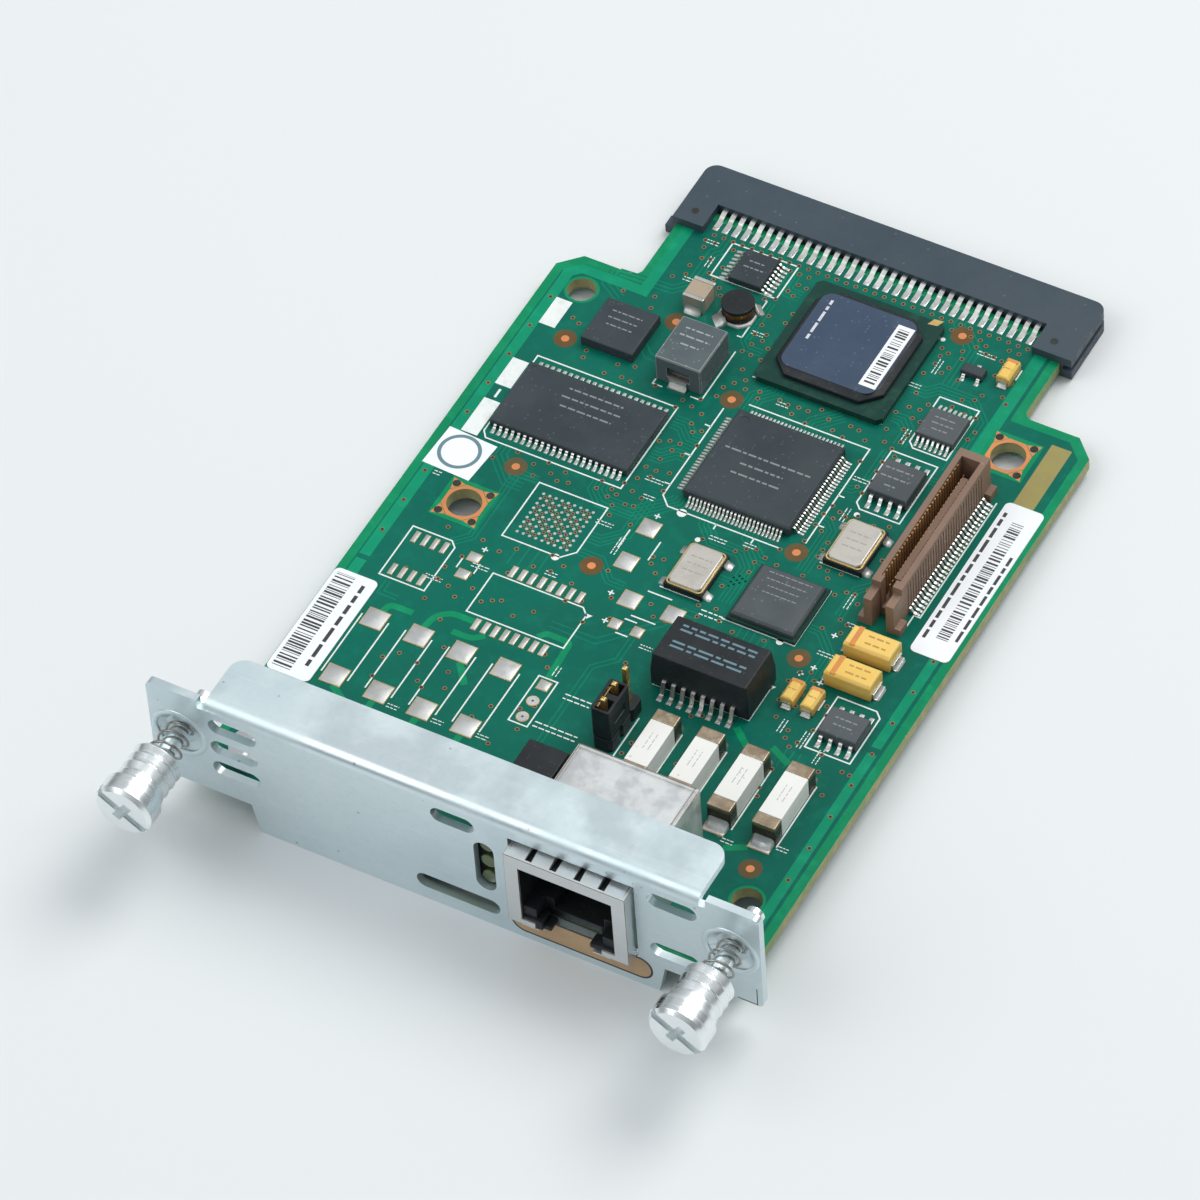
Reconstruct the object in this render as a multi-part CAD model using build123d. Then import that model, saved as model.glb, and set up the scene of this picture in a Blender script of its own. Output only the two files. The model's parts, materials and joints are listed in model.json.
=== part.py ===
"""Voice and WAN interface card: a small plug-in circuit card for a router slot.

Millimetres. X runs along the front bracket, left to right seen from the front.
Y runs from the thumbscrews at the front to the edge connector at the back.
Z is up, and the origin is on the floor under the middle of the whole card.
"""
import os
from math import atan, degrees, radians, tan

from build123d import *

# Overall layout
knob_out = 12.9            # front of the thumbscrews to the front face of the bracket
face_to_back = 109.55      # front face of the bracket to the back of the edge connector
face_y = knob_out - (knob_out + face_to_back) / 2
board_top = 4.8            # height of the board's upper side above the floor
board_thick = 1.6

# Board outline
board_width = 71.0
board_gap = 0.3            # from the bracket's inner side to the board's front edge
shoulder_back = 90.4       # front face to the board's two shoulders
shoulder_chamfer = 2.5
tongue_width = 51.2
tongue_back = 103.4        # front face to the end of the board inside the connector
notch_radius = 1.2
tooling_hole_r = 1.8
ringed_hole_r = 2.1
tooling_holes = ((-30.7, 85.5), (30.5, 12.4))
ringed_holes = ((-26.9, 50.0), (26.8, 84.2))

# Front bracket
sheet = 1.0
bracket_width = 78.4
bracket_height = 19.8
flange_width = 63.2
flange_depth = 7.8
flange_corner = 2.0
bend_inner_r = 0.5
ear_bottom = 4.4           # height of the lower edge of the two ears
skirt_width = 51.6         # the lower middle part of the bracket
skirt_slant = 0.9
ear_corner = 0.8
relief_width = 0.9
relief_drop = 1.3
vent_height = 2.3
vent_length = 6.3
vent_pitch = 3.65
vent_x = -28.15
vent_top = 16.3            # height of the centre of the highest vent
right_vent_low = 7.5
short_vent = (0.3, 5.6)    # middle and length of the small vent above the window
long_vent = (0.2, 10.8)    # middle and length of the long vent near the bottom
long_vent_height = 3.2
window_x = 4.1
window_width = 2.6
window_low = 6.1
window_high = 14.3

# Screws that hold the bracket to the board
fix_x = 30.0
fix_back = 6.1             # front face to the fixing screws
fix_screw_r = 1.45
fix_clearance = 0.15
fix_head_r = 2.7
fix_head_height = 1.8
fix_end = 1.2              # length of screw that shows under the tab
tab_width = 8.0
tab_depth = 10.2
tab_root = 2.2

# Captive thumbscrews
screw_inset = 3.8          # side of the bracket to a thumbscrew's axis
screw_x = bracket_width / 2 - screw_inset
screw_height = 12.6
dish_r = 3.3
dish_floor_r = 2.1
dish_rim = 0.3
dish_depth = 0.7
neck_r = 1.15
neck_clearance = 0.08
knob_r = 3.1
knob_rim_r = 3.65
knob_rim_length = 2.7
rim_step = 0.3
knob_length = 8.3
knob_chamfer = 0.45
groove_count = 4
groove_depth = 0.25
ring_share = 0.75          # of each ring is straight, and the rest slopes into its groove
thread_r = 1.5
thread_length = 3.2
thread_chamfer = 0.4
seat_gap = 0.3             # play between the thread's shoulder and the sheet
drive_slot_width = 1.1
drive_slot_depth = 1.0
drive_cross_length = 3.2
spring_wire = 0.36
spring_turns = 3.25
spring_wire_sides = 4
spring_steps_a_turn = 16
spring_end_gap = 0.12
spring_low_r = 1.75        # coil radius at the dish
spring_high_r = 1.95       # coil radius at the knob

# Modular jack
jack_x = 15.4
jack_width = 15.4
jack_height = 11.6
jack_depth = 17.8
jack_out = 1.7             # how far the jack stands out of the bracket
shield_sheet = 0.3
shield_lip = 1.8
shield_sill = 0.9          # height of the two lips under the port
mouth_width = 8.4          # between those lips, open down to the bracket
finger_count = 5
finger_gap = 0.75
finger_length = 4.0
finger_rise = 0.4
finger_low_share = 0.3     # every other finger bulges by only this share
port_width = 11.9
port_low = 2.9             # heights over the board
port_high = 9.5
port_depth = 12.6
latch_width = 6.3
latch_low = 1.3
insert_play = 0.15
channel_high = 10.6
contact_count = 8
contact_pitch = 1.02
contact_width = 0.45
contact_thick = 0.3
contact_step = 1.27        # between the two rows of soldered pins
pin_length = 1.3           # length of the pins under the board

# Light block behind the window
lamp_width = 5.0
lamp_front = 1.5           # front face to the block
lamp_back = 15.8
lamp_height = 9.8
lens_r = 1.0
lens_count = 3
lens_pitch = 2.75
lens_out = 0.7             # lens tips in front of the block

# Edge connector
edge_wall = 1.6            # the housing beside the board's tongue
edge_width = tongue_width + 2 * edge_wall
edge_thick = 3.3
edge_top = 1.2             # height of the upper slab over the board
edge_front = 99.8          # front face to the two ears
edge_recess = 103.8        # front face to the recess over the contacts
edge_recess_margin = 0.41  # recess beyond the pitch of the outer contacts
edge_key = 1.1             # the left side is cut back by this much behind its foot
edge_foot_depth = 1.6
edge_corner = 1.6
edge_groove_height = 0.8
edge_groove_depth = 2.4
edge_pins = 34
edge_pitch = 1.27
edge_recess_width = edge_pins * edge_pitch + 2 * edge_recess_margin
edge_row_gap = 1.27
socket_size = 0.62
socket_depth = 3.6
edge_lead_width = 0.55
edge_lead_thick = 0.2
edge_lead_rise = 0.35
edge_foot_front = 101.2
edge_foot_length = 1.3

# Mezzanine connector
mezz_x = 25.45
mezz_width = 3.9
mezz_height = 5.6
mezz_front = 54.2
mezz_back = 78.7
mezz_slot_width = 2.4
mezz_end_wall = 1.1
mezz_floor = 1.2
mezz_tongue_width = 0.8
mezz_tongue_height = 2.6
mezz_foot_width = 5.5
mezz_foot_length = 1.7
mezz_foot_height = 1.1
mezz_keyway = 1.5
mezz_first_pin = 58.0
mezz_prong_length = 2.2
mezz_pins = 30
mezz_pitch = 0.635
mezz_lead_width = 0.3
mezz_lead_thick = 0.18
mezz_lead_reach = 3.1
mezz_lead_rise = 0.7
mezz_lead_foot = 0.6

# Jumper header and its shunt
header_x = 5.45
header_mid = 28.1
header_pins = 3
header_pitch = 2.54
header_width = 2.5
header_height = 2.0
header_pin_size = 0.64
header_pin_top = 8.0
pin_hole = header_pin_size + 0.3
shunt_low_gap = 0.3
shunt_height = 4.6
shunt_length = 4.9
shunt_width = 2.4
shunt_hole = 1.7
shunt_clip_slot = 0.4
shunt_clip_thick = 0.15
shunt_grip_height = 1.6

# Chips: middle (x, distance from the front face) and body
chip_lift = 0.1            # the board to a chip's underside
chip_lead_thick = 0.15
processor_at = (2.7, 69.0)
processor_size = 14.0
processor_height = 1.5
processor_leads_a_side = 25
processor_pitch = 0.5
processor_lead_out = 1.0
processor_lead_width = 0.22
processor_lead_rise = 0.65
processor_lead_foot = 0.45
memory_at = (-20.9, 67.0)
memory_size = (18.4, 10.16, 1.1)
framer_at = (2.8, 90.2)
framer_size = 17.0
framer_base_height = 0.9
framer_cap_size = 14.4
framer_cap_height = 1.1
framer_cap_chamfer = 2.2
line_chip_at = (13.4, 52.2)
line_chip_size = 9.0
line_base_height = 0.5
line_cap_size = 8.2
line_cap_height = 0.8
regulator_at = (-23.1, 81.3)
regulator_size = 7.0
regulator_height = 1.5

# Chips with leads on two sides: the lead row's count and pitch, its reach out of the body, width and foot
memory_row = (22, 0.8, 0.8, 0.35, 0.5)
buffer_row = (8, 0.65, 1.0, 0.25, 0.5)
logic_row = (7, 0.65, 1.0, 0.25, 0.5)
flash_row = (4, 1.27, 1.3, 0.42, 0.6)
monitor_row = (4, 1.27, 1.05, 0.42, 0.6)
transistor_row = (2, 1.9, 0.55, 0.42, 0.3)

# Their middle, and their body's length along a row, width across the rows and height
buffer_at = (-13.4, 96.7)
buffer_size = (5.0, 4.4, 1.1)
logic_at = (18.15, 84.3)
logic_size = (5.0, 4.4, 1.1)
flash_at = (17.5, 74.0)
flash_size = (5.2, 5.2, 1.7)
monitor_at = (29.05, 38.7)
monitor_size = (4.9, 3.9, 1.6)
transistor_at = (17.4, 93.8)
transistor_size = (2.9, 1.4, 1.0)

# Passive parts
power_inductor_at = (-12.95, 80.45)
power_inductor_size = (6.1, 7.2, 4.1)
inductor_edge = 0.15
inductor_window = (3.0, 1.6, 0.8)  # width, height and depth of the opening over each terminal
inductor_clip_width = 2.4
inductor_clip_height = 1.2
inductor_clip_out = 0.75
inductor_clip_thick = 0.25
drum_at = (-12.0, 90.15)
drum_r = 2.05
drum_height = 1.9
drum_core_r = 1.2
drum_cheek = 0.5
drum_base_size = 4.4
drum_base_height = 0.4
ceramic_at = (-17.1, 89.9)
ceramic_size = (2.8, 3.4, 2.4)
ceramic_end = 0.55
large_tantalum_at = ((26.6, 50.4), (26.6, 45.6))
large_tantalum_size = (6.0, 3.2, 2.5)
small_tantalum_at = ((21.3, 40.9), (23.9, 40.8), (21.2, 95.3))
small_tantalum_size = (1.7, 3.2, 1.6)
terminal_out = 0.55
terminal_thick = 0.2
terminal_rise = 0.9
oscillator_at = ((2.65, 52.3), (17.5, 63.6))
oscillator_size = (5.0, 7.0)
oscillator_base_height = 0.9
oscillator_lid_height = 0.5
oscillator_lid_margin = 0.3
transformer_at = (12.2, 38.7)
transformer_size = (12.7, 6.9, 5.3)
transformer_lift = 0.3
transformer_leads_a_side = 8
transformer_pitch = 1.27
transformer_lead_out = 1.45
transformer_lead_rise = 1.5
fuse_first_x = 11.0
fuse_pitch = 5.75
fuse_count = 4
fuse_mid = 25.6
fuse_size = (3.0, 9.9, 3.0)
fuse_cap_length = 1.7
left_label = (-32.55, 26.5, 5.7, 16.8)
right_label = (32.4, 65.4, 5.0, 25.0)
label_thick = 0.12
label_corner = 0.5
under_chip_size = (1.6, 0.8, 0.6)
under_chip_columns = 3
under_chip_rows = 2
under_chip_pitch = (3.2, 4.4)

os.makedirs("parts", exist_ok=True)


def at(distance):
    """The Y of a place that is given from the bracket's front face."""
    return face_y + distance


def over(height):
    """The Z of a place that is given from the board's upper side."""
    return board_top + height


def block(x0, x1, y0, y1, z0, z1):
    """A box between two corners."""
    middle = ((x0 + x1) / 2, (y0 + y1) / 2, (z0 + z1) / 2)
    return Pos(*middle) * Box(x1 - x0, y1 - y0, z1 - z0)


def slab(x, y, width, depth, z0, z1):
    """A box around a middle in X and Y, between two heights."""
    return block(x - width / 2, x + width / 2, y - depth / 2, y + depth / 2, z0, z1)


def rod_z(x, y, radius, z0, z1):
    """An upright cylinder."""
    return Pos(x, y, (z0 + z1) / 2) * Cylinder(radius, z1 - z0)


def rod_y(x, z, radius, y0, y1):
    """A cylinder along Y."""
    return Pos(x, (y0 + y1) / 2, z) * Rot(90, 0, 0) * Cylinder(radius, y1 - y0)


def prism_x(points, x0, x1):
    """An outline of (y, z) points, extruded along X."""
    face = make_face(Plane.YZ * Polyline(*points, close=True))
    return Pos(x0, 0, 0) * extrude(face, x1 - x0, dir=(1, 0, 0))


def prism_y(points, y0, y1):
    """An outline of (x, z) points, extruded along Y."""
    face = make_face(Plane.XZ * Polyline(*points, close=True))
    return Pos(0, y0, 0) * extrude(face, y1 - y0, dir=(0, 1, 0))


def turned_y(points, x, z):
    """A turned piece on an axis along Y, from (radius, y) points."""
    face = make_face(Plane.XY * Polyline(*points, close=True))
    return Pos(x, 0, z) * revolve(face, Axis.Y)


def save(name, *solids):
    """One node: a solid, or a group of separate solids."""
    shape = solids[0] if len(solids) == 1 else Compound(children=list(solids))
    export_step(shape, f"parts/{name}.step")


def chip_body(x, y, width, depth, z0, z1, edge=0.15, dimple=0.0):
    """A moulded chip body with bevelled edges, and a pin-one dimple on a large one."""
    body = slab(x, y, width, depth, z0, z1)
    body = chamfer(body.faces().sort_by(Axis.Z)[-1].edges(), edge)
    if dimple:
        spot = (x - width / 2 + 2 * dimple + edge, y + depth / 2 - 2 * dimple - edge)
        body -= rod_z(spot[0], spot[1], dimple, z1 - 0.08, z1 + 0.1)
    return body


def lead(root, reach, rise, foot, thick, width):
    """A slanted lead that leaves the body at root and ends in a flat foot at reach, along +X."""
    points = ((root, rise + thick), (reach, 0), (reach - foot, 0), (root, rise))
    face = make_face(Plane.XZ * Polyline(*points, close=True))
    return Pos(0, -width / 2, 0) * extrude(face, width, dir=(0, 1, 0))


def bent_lead(root, reach, rise, foot, thick, width, shoulder):
    """A gull-wing lead with a level shoulder, a slant and a flat foot, along +X."""
    heel = reach - foot
    points = ((root, rise + thick), (root + shoulder, rise + thick), (heel, thick), (reach, thick),
              (reach, 0), (heel - thick, 0), (root + shoulder, rise), (root, rise))
    face = make_face(Plane.XZ * Polyline(*points, close=True))
    return Pos(0, -width / 2, 0) * extrude(face, width, dir=(0, 1, 0))


def lead_row(x, y, turn, count, pitch, one):
    """A row of leads on the side of a chip that faces turn degrees from +X."""
    row = []
    for i in range(count):
        along = (i - (count - 1) / 2) * pitch
        row.append(Pos(x, y, board_top) * Rot(0, 0, turn) * Pos(0, along, 0) * one)
    return row


def printed_board():
    half = board_width / 2
    tongue = tongue_width / 2
    front = at(sheet + board_gap)
    outline = Polyline(
        (-half, front), (half, front), (half, at(shoulder_back - shoulder_chamfer)),
        (half - shoulder_chamfer, at(shoulder_back)), (tongue, at(shoulder_back)),
        (tongue, at(tongue_back)), (-tongue, at(tongue_back)), (-tongue, at(shoulder_back)),
        (shoulder_chamfer - half, at(shoulder_back)),
        (-half, at(shoulder_back - shoulder_chamfer)), close=True)
    board = Pos(0, 0, board_top - board_thick) * extrude(make_face(outline), board_thick)
    inner = [e for e in board.edges().filter_by(Axis.Z)
             if abs(abs(e.center().X) - tongue) < 0.01 and abs(e.center().Y - at(shoulder_back)) < 0.01]
    board = fillet(inner, notch_radius)
    low = board_top - board_thick - 1
    holes = [(x, v, tooling_hole_r) for x, v in tooling_holes]
    holes += [(x, v, ringed_hole_r) for x, v in ringed_holes]
    holes += [(side * fix_x, fix_back, fix_screw_r + fix_clearance) for side in (-1, 1)]
    for x, v, radius in holes:
        board -= rod_z(x, at(v), radius, low, over(1))
    for x, y in header_places() + jack_pin_places() + jack_tab_places() + lamp_pin_places():
        board -= slab(x, y, pin_hole, pin_hole, low, over(1))
    return board


def header_places():
    """The header's pins, front to back."""
    middle = (header_pins - 1) / 2
    return [(header_x, at(header_mid) + (i - middle) * header_pitch) for i in range(header_pins)]


def jack_back():
    return at(jack_depth - jack_out)


def jack_pin_places():
    """The jack's eight pins in two staggered rows."""
    places = []
    for i in range(contact_count):
        x = jack_x + (i - (contact_count - 1) / 2) * contact_pitch
        places.append((x, jack_back() - 1.3 - (i % 2) * contact_step))
    return places


def jack_tab_places():
    """The two shield tabs that are soldered through the board."""
    reach = jack_width / 2 - shield_sheet / 2
    return [(jack_x + side * reach, at(jack_depth * 0.62)) for side in (-1, 1)]


def lamp_pin_places():
    """Six pins under the light block."""
    return [(window_x + side * header_pitch / 2, at(lamp_back) - 2 - i * header_pitch)
            for i in range(lens_count) for side in (-1, 1)]


def bracket_plate():
    """The upright plate of the bracket, with its ears and skirt."""
    wide, flange, skirt = bracket_width / 2, flange_width / 2, skirt_width / 2
    top = bracket_height
    points = [(-wide, ear_bottom), (-skirt - skirt_slant, ear_bottom), (-skirt, 0), (skirt, 0),
              (skirt + skirt_slant, ear_bottom), (wide, ear_bottom), (wide, top),
              (flange + relief_width, top), (flange + relief_width, top - relief_drop),
              (flange, top - relief_drop), (flange, top - sheet - bend_inner_r),
              (-flange, top - sheet - bend_inner_r), (-flange, top - relief_drop),
              (-flange - relief_width, top - relief_drop), (-flange - relief_width, top), (-wide, top)]
    plate = prism_y(points, at(0), at(sheet))
    corners = [e for e in plate.edges().filter_by(Axis.Y) if abs(abs(e.center().X) - wide) < 0.01]
    return fillet(corners, ear_corner)


def bracket_flange():
    """The bent top flange, a section swept along X, with rounded back corners."""
    outer = bend_inner_r + sheet
    top = bracket_height
    half = flange_width / 2
    corner = block(-half, half, at(0), at(outer), top - outer, top)
    corner -= Pos(0, at(outer), top - outer) * Rot(0, 90, 0) * Cylinder(bend_inner_r, flange_width + 2)
    rounding = corner.edges().filter_by(Axis.X).filter_by(
        lambda e: abs(e.center().Y - at(0)) < 0.01 and abs(e.center().Z - top) < 0.01)
    corner = fillet(rounding, outer * 0.98)
    leaf = block(-half, half, at(outer), at(flange_depth), top - sheet, top)
    back = [e for e in leaf.edges().filter_by(Axis.Z) if abs(e.center().Y - at(flange_depth)) < 0.01]
    return corner + fillet(back, flange_corner)


def vent(x, z, length, height):
    """A round-ended slot through the plate."""
    shape = Plane.XZ * Pos(x, z) * SlotOverall(length, height)
    return Pos(0, at(-1), 0) * extrude(shape, sheet + 2, dir=(0, 1, 0))


def bracket_tab(side):
    """A tab under the board that takes a fixing screw."""
    root_out = side * skirt_width / 2
    root_in = side * (skirt_width / 2 - tab_root)
    tab_top = board_top - board_thick
    root = block(min(root_out, root_in), max(root_out, root_in), at(sheet), at(tab_depth),
                 tab_top - sheet, tab_top)
    ends = sorted((root_in, side * (fix_x + tab_width / 2)))
    wing = block(ends[0], ends[1], at(sheet + 1.2), at(tab_depth), tab_top - sheet, tab_top)
    tab = root + wing
    return tab - rod_z(side * fix_x, at(fix_back), fix_screw_r + 0.05, 0, board_top)


def front_bracket():
    bracket = bracket_plate() + bracket_flange()
    for i in range(3):
        bracket -= vent(vent_x, vent_top - i * vent_pitch, vent_length, vent_height)
    bracket -= vent(-vent_x, vent_top, vent_length, vent_height)
    bracket -= vent(-vent_x, right_vent_low, vent_length, vent_height)
    bracket -= vent(short_vent[0], vent_top, short_vent[1], vent_height)
    bracket -= vent(long_vent[0], long_vent_height, long_vent[1], vent_height)
    window = Plane.XZ * Pos(window_x, (window_low + window_high) / 2)
    window *= SlotOverall(window_high - window_low, window_width, rotation=90)
    bracket -= Pos(0, at(-1), 0) * extrude(window, sheet + 2, dir=(0, 1, 0))
    play = jack_width / 2 + seat_gap
    bracket -= block(jack_x - play, jack_x + play, at(-1), at(sheet + 0.5),
                     over(-seat_gap / 2), over(jack_height + finger_rise + seat_gap))
    for side in (-1, 1):
        bracket += bracket_tab(side)
        x = side * screw_x
        bracket -= rod_y(x, screw_height, dish_r + dish_rim, at(-1), at(sheet + 1))
        hole = neck_r + neck_clearance
        dish = [(hole, at(dish_depth)), (dish_floor_r, at(dish_depth)), (dish_r, at(0)),
                (dish_r + dish_rim, at(0)), (dish_r + dish_rim, at(sheet)),
                (dish_r + 0.2, at(sheet)), (dish_floor_r + 0.2, at(sheet + dish_depth)),
                (hole, at(sheet + dish_depth))]
        bracket += turned_y(dish, x, screw_height)
    return bracket


def fixing_screws():
    """Two pan-head screws, down through the board into the bracket's tabs."""
    screws = []
    for side in (-1, 1):
        x, y = side * fix_x, at(fix_back)
        low = board_top - board_thick - sheet - fix_end
        head = rod_z(x, y, fix_head_r, over(0), over(fix_head_height))
        for turn in (0, 90):
            cut = Box(fix_head_r * 1.2, 0.6, 1.0)
            head -= Pos(x, y, over(fix_head_height)) * Rot(0, 0, turn) * cut
        screws.append(head + rod_z(x, y, fix_screw_r, low, over(0.1)))
    return screws


def thumbscrew(side):
    """A turned knob with ring grooves, a neck, and a thread held behind the sheet."""
    front = at(-knob_out)
    back = front + knob_length
    shoulder = at(sheet + dish_depth + seat_gap)
    tip = shoulder + thread_length
    rim = front + knob_rim_length
    points = [(0, front), (knob_rim_r - knob_chamfer, front), (knob_rim_r, front + knob_chamfer),
              (knob_rim_r, rim), (knob_r, rim + rim_step)]
    pitch = (back - rim - rim_step) / groove_count
    for i in range(groove_count):
        ring = rim + rim_step + i * pitch
        points += [(knob_r, ring + ring_share * pitch), (knob_r - groove_depth, ring + pitch)]
    points += [(neck_r, back), (neck_r, shoulder),
               (thread_r, shoulder), (thread_r, tip - thread_chamfer), (thread_r - thread_chamfer, tip),
               (0, tip)]
    screw = turned_y(points, side * screw_x, screw_height)
    cross = Box(drive_cross_length, 2 * drive_slot_depth, drive_slot_width)
    slot = Box(2 * knob_rim_r + 1, 2 * drive_slot_depth, drive_slot_width)
    place = Pos(side * screw_x, front, screw_height)
    return screw - place * Rot(0, 35, 0) * slot - place * Rot(0, 125, 0) * cross


def spring(side):
    """The light coil spring between the dish and the knob."""
    low = at(dish_depth) - spring_wire / 2 - spring_end_gap
    high = at(-knob_out) + knob_length + spring_wire / 2 + spring_end_gap
    length = low - high
    cone = degrees(atan((spring_high_r - spring_low_r) / length))
    coil = Helix(pitch=length / spring_turns, height=length, radius=spring_low_r, cone_angle=cone)
    steps = round(spring_turns * spring_steps_a_turn)
    path = Polyline(*[coil @ (i / steps) for i in range(steps + 1)])
    section = Plane(origin=path @ 0, z_dir=path % 0) * RegularPolygon(spring_wire / 2, spring_wire_sides)
    wire = sweep(section, path=path, transition=Transition.RIGHT)
    return Pos(side * screw_x, low, screw_height) * Rot(90, 0, 0) * wire


def jack_shield():
    half = jack_width / 2
    front, back = at(-jack_out), jack_back()
    low, high = over(0), over(jack_height)
    t = shield_sheet
    shell = block(jack_x - half, jack_x + half, front, back, low, high)
    shell -= block(jack_x - half + t, jack_x + half - t, front + t, back - t, low - 1, high - t)
    shell -= block(jack_x - half + shield_lip, jack_x + half - shield_lip, front - 1, front + 1,
                   low + shield_sill, high - shield_lip)
    shell -= slab(jack_x, front, mouth_width, 2, low - 1, low + shield_sill + 1)
    step = jack_width / finger_count
    for i in range(finger_count):
        x0 = jack_x - half + i * step + finger_gap / 2
        x1 = x0 + step - finger_gap
        bulge = finger_rise if i % 2 else finger_rise * finger_low_share
        profile = [(front + t, high), (front + finger_length * 0.5, high + bulge),
                   (front + finger_length, high)]
        shell += prism_x(profile, x0, x1)
        if i:
            shell -= block(x0 - finger_gap, x0, front + t, front + finger_length, high - 1, high + 1)
    for x, y in jack_tab_places():
        shell += slab(x, y, t, 0.7, over(-board_thick - pin_length), over(0.5))
    return shell


def jack_insert():
    """The black moulding inside the shield, with the port and the latch step."""
    half = jack_width / 2 - shield_sheet - insert_play
    front, back = at(-jack_out) + shield_sheet + insert_play, jack_back() - shield_sheet - insert_play
    low, high = over(0.1), over(jack_height - shield_sheet - insert_play)
    body = block(jack_x - half, jack_x + half, front, back, low, high)
    end = at(-jack_out) + port_depth
    body -= block(jack_x - port_width / 2, jack_x + port_width / 2, front - 1, end,
                  over(port_low), over(port_high))
    body -= block(jack_x - latch_width / 2, jack_x + latch_width / 2, front - 1, end,
                  over(latch_low), over(port_low + 1))
    body -= block(jack_x - mouth_width / 2, jack_x + mouth_width / 2, front - 1, at(sheet),
                  low - 1, over(port_low + 1))
    channel = contact_count * contact_pitch / 2 + 0.3
    body -= block(jack_x - channel, jack_x + channel, front + 1.2, back + 1,
                  over(port_high - 0.5), over(channel_high))
    body -= block(jack_x - channel, jack_x + channel, back - 2.6, back + 1, low - 1, over(channel_high))
    return body


def jack_contacts():
    """Eight sprung contacts: soldered pin, run over the port, and sloping tip."""
    front = at(-jack_out)
    high = over(channel_high - 0.35)
    t = contact_thick
    contacts = []
    for x, y in jack_pin_places():
        bend = front + 2.6
        points = [(y, over(-board_thick - pin_length)), (y, high - t), (bend + 1.1, high - t),
                  (front + 8.6, over(6.6)), (front + 8.4, over(6.6) - t), (bend, high),
                  (y + t, high), (y + t, over(-board_thick - pin_length))]
        contacts.append(prism_x(points, x - contact_width / 2, x + contact_width / 2))
    return contacts


def lamp_block():
    """The black block that holds the status lamps behind the window."""
    half = lamp_width / 2
    body = block(window_x - half, window_x + half, at(lamp_front), at(lamp_back), over(0), over(lamp_height))
    edges = body.edges().filter_by(Axis.X).filter_by(lambda e: e.center().Z > over(lamp_height / 2))
    body = chamfer(edges, 0.5)
    pins = [slab(x, y, 0.5, 0.5, over(-board_thick - pin_length), over(0.4)) for x, y in lamp_pin_places()]
    for pin in pins:
        body += pin
    return body


def lens_heights():
    middle = (window_low + window_high) / 2
    return [middle + (i - (lens_count - 1) / 2) * lens_pitch for i in range(lens_count)]


def lamp_lenses():
    """The lamps' tips, which stand out of the block's front face."""
    return [rod_y(window_x, z, lens_r, at(lamp_front - lens_out), at(lamp_front)) for z in lens_heights()]


def edge_middle():
    """The height of the middle between the connector's two contact rows."""
    return over(edge_top - edge_thick / 2)


def edge_pin_x(i):
    return (i - (edge_pins - 1) / 2) * edge_pitch


def edge_housing():
    """A flat receptacle that straddles the board's tongue."""
    half = edge_width / 2
    top, low = over(edge_top), over(edge_top - edge_thick)
    back = at(face_to_back)
    body = block(edge_key - half, half, at(edge_front), back, low, top)
    corners = body.edges().filter_by(Axis.Z).filter_by(lambda e: abs(e.center().Y - back) < 0.01)
    body = fillet(corners, edge_corner)
    body += block(-half, edge_key - half, at(edge_front), at(edge_front + edge_foot_depth),
                  low, edge_middle() - edge_groove_height / 2)
    recess = edge_recess_width / 2
    body -= block(-recess, recess, at(edge_front) - 1, at(edge_recess), low - 1, top + 1)
    play = 0.1
    tongue = tongue_width / 2 + play
    body -= block(-tongue, tongue, at(edge_front) - 1, at(tongue_back) + play,
                  over(-board_thick), over(0))
    body -= block(half - edge_groove_depth * 0.5, half + 1, at(edge_front) - 1, back + 1,
                  edge_middle() - edge_groove_height / 2, edge_middle() + edge_groove_height / 2)
    for i in range(edge_pins):
        for row in (-1, 1):
            z = edge_middle() + row * edge_row_gap / 2
            h = socket_size / 2
            body -= block(edge_pin_x(i) - h, edge_pin_x(i) + h, back - socket_depth, back + 1, z - h, z + h)
    return body


def edge_contacts():
    """Soldered legs above and below the board, one for each socket."""
    contacts = []
    w = edge_lead_width / 2
    foot, root = at(edge_foot_front), at(edge_recess)
    for i in range(edge_pins):
        x = edge_pin_x(i)
        for row in (-1, 1):
            base = over(0) if row > 0 else over(-board_thick)
            rise = row * edge_lead_rise
            points = [(foot, base), (root, base + rise + row * edge_lead_thick), (root, base + rise),
                      (foot + edge_foot_length, base)]
            contacts.append(prism_x(points, x - w, x + w))
    return contacts


def mezzanine_housing():
    """A tall open slot with end feet, a low tongue and a keyed front end."""
    x = mezz_x
    front, back = at(mezz_front), at(mezz_back)
    half, slot = mezz_width / 2, mezz_slot_width / 2
    body = block(x - half, x + half, front + mezz_prong_length, back, over(0), over(mezz_height))
    slot_front, slot_back = front + mezz_prong_length + mezz_end_wall, back - mezz_end_wall
    body -= block(x - slot, x + slot, slot_front, slot_back, over(mezz_floor), over(mezz_height + 1))
    tongue = mezz_tongue_width / 2
    body += block(x - tongue, x + tongue, slot_front + 1.5, slot_back - 1.5,
                  over(mezz_floor - 0.2), over(mezz_floor + mezz_tongue_height))
    body -= block(x - mezz_keyway / 2, x + mezz_keyway / 2, front, slot_front + 0.5,
                  over(mezz_floor), over(mezz_height + 1))
    for side in (-1, 1):
        inner, outer = sorted((x + side * slot * 0.75, x + side * half))
        body += block(inner, outer, front, front + mezz_prong_length + 0.2,
                      over(0), over(mezz_height - 1.0))
        foot_outer = sorted((x + side * half * 0.9, x + side * mezz_foot_width / 2))
        for y0, y1 in ((front, front + mezz_foot_length), (back - mezz_foot_length, back)):
            body += block(foot_outer[0], foot_outer[1], y0, y1, over(0), over(mezz_foot_height))
    return body


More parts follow.
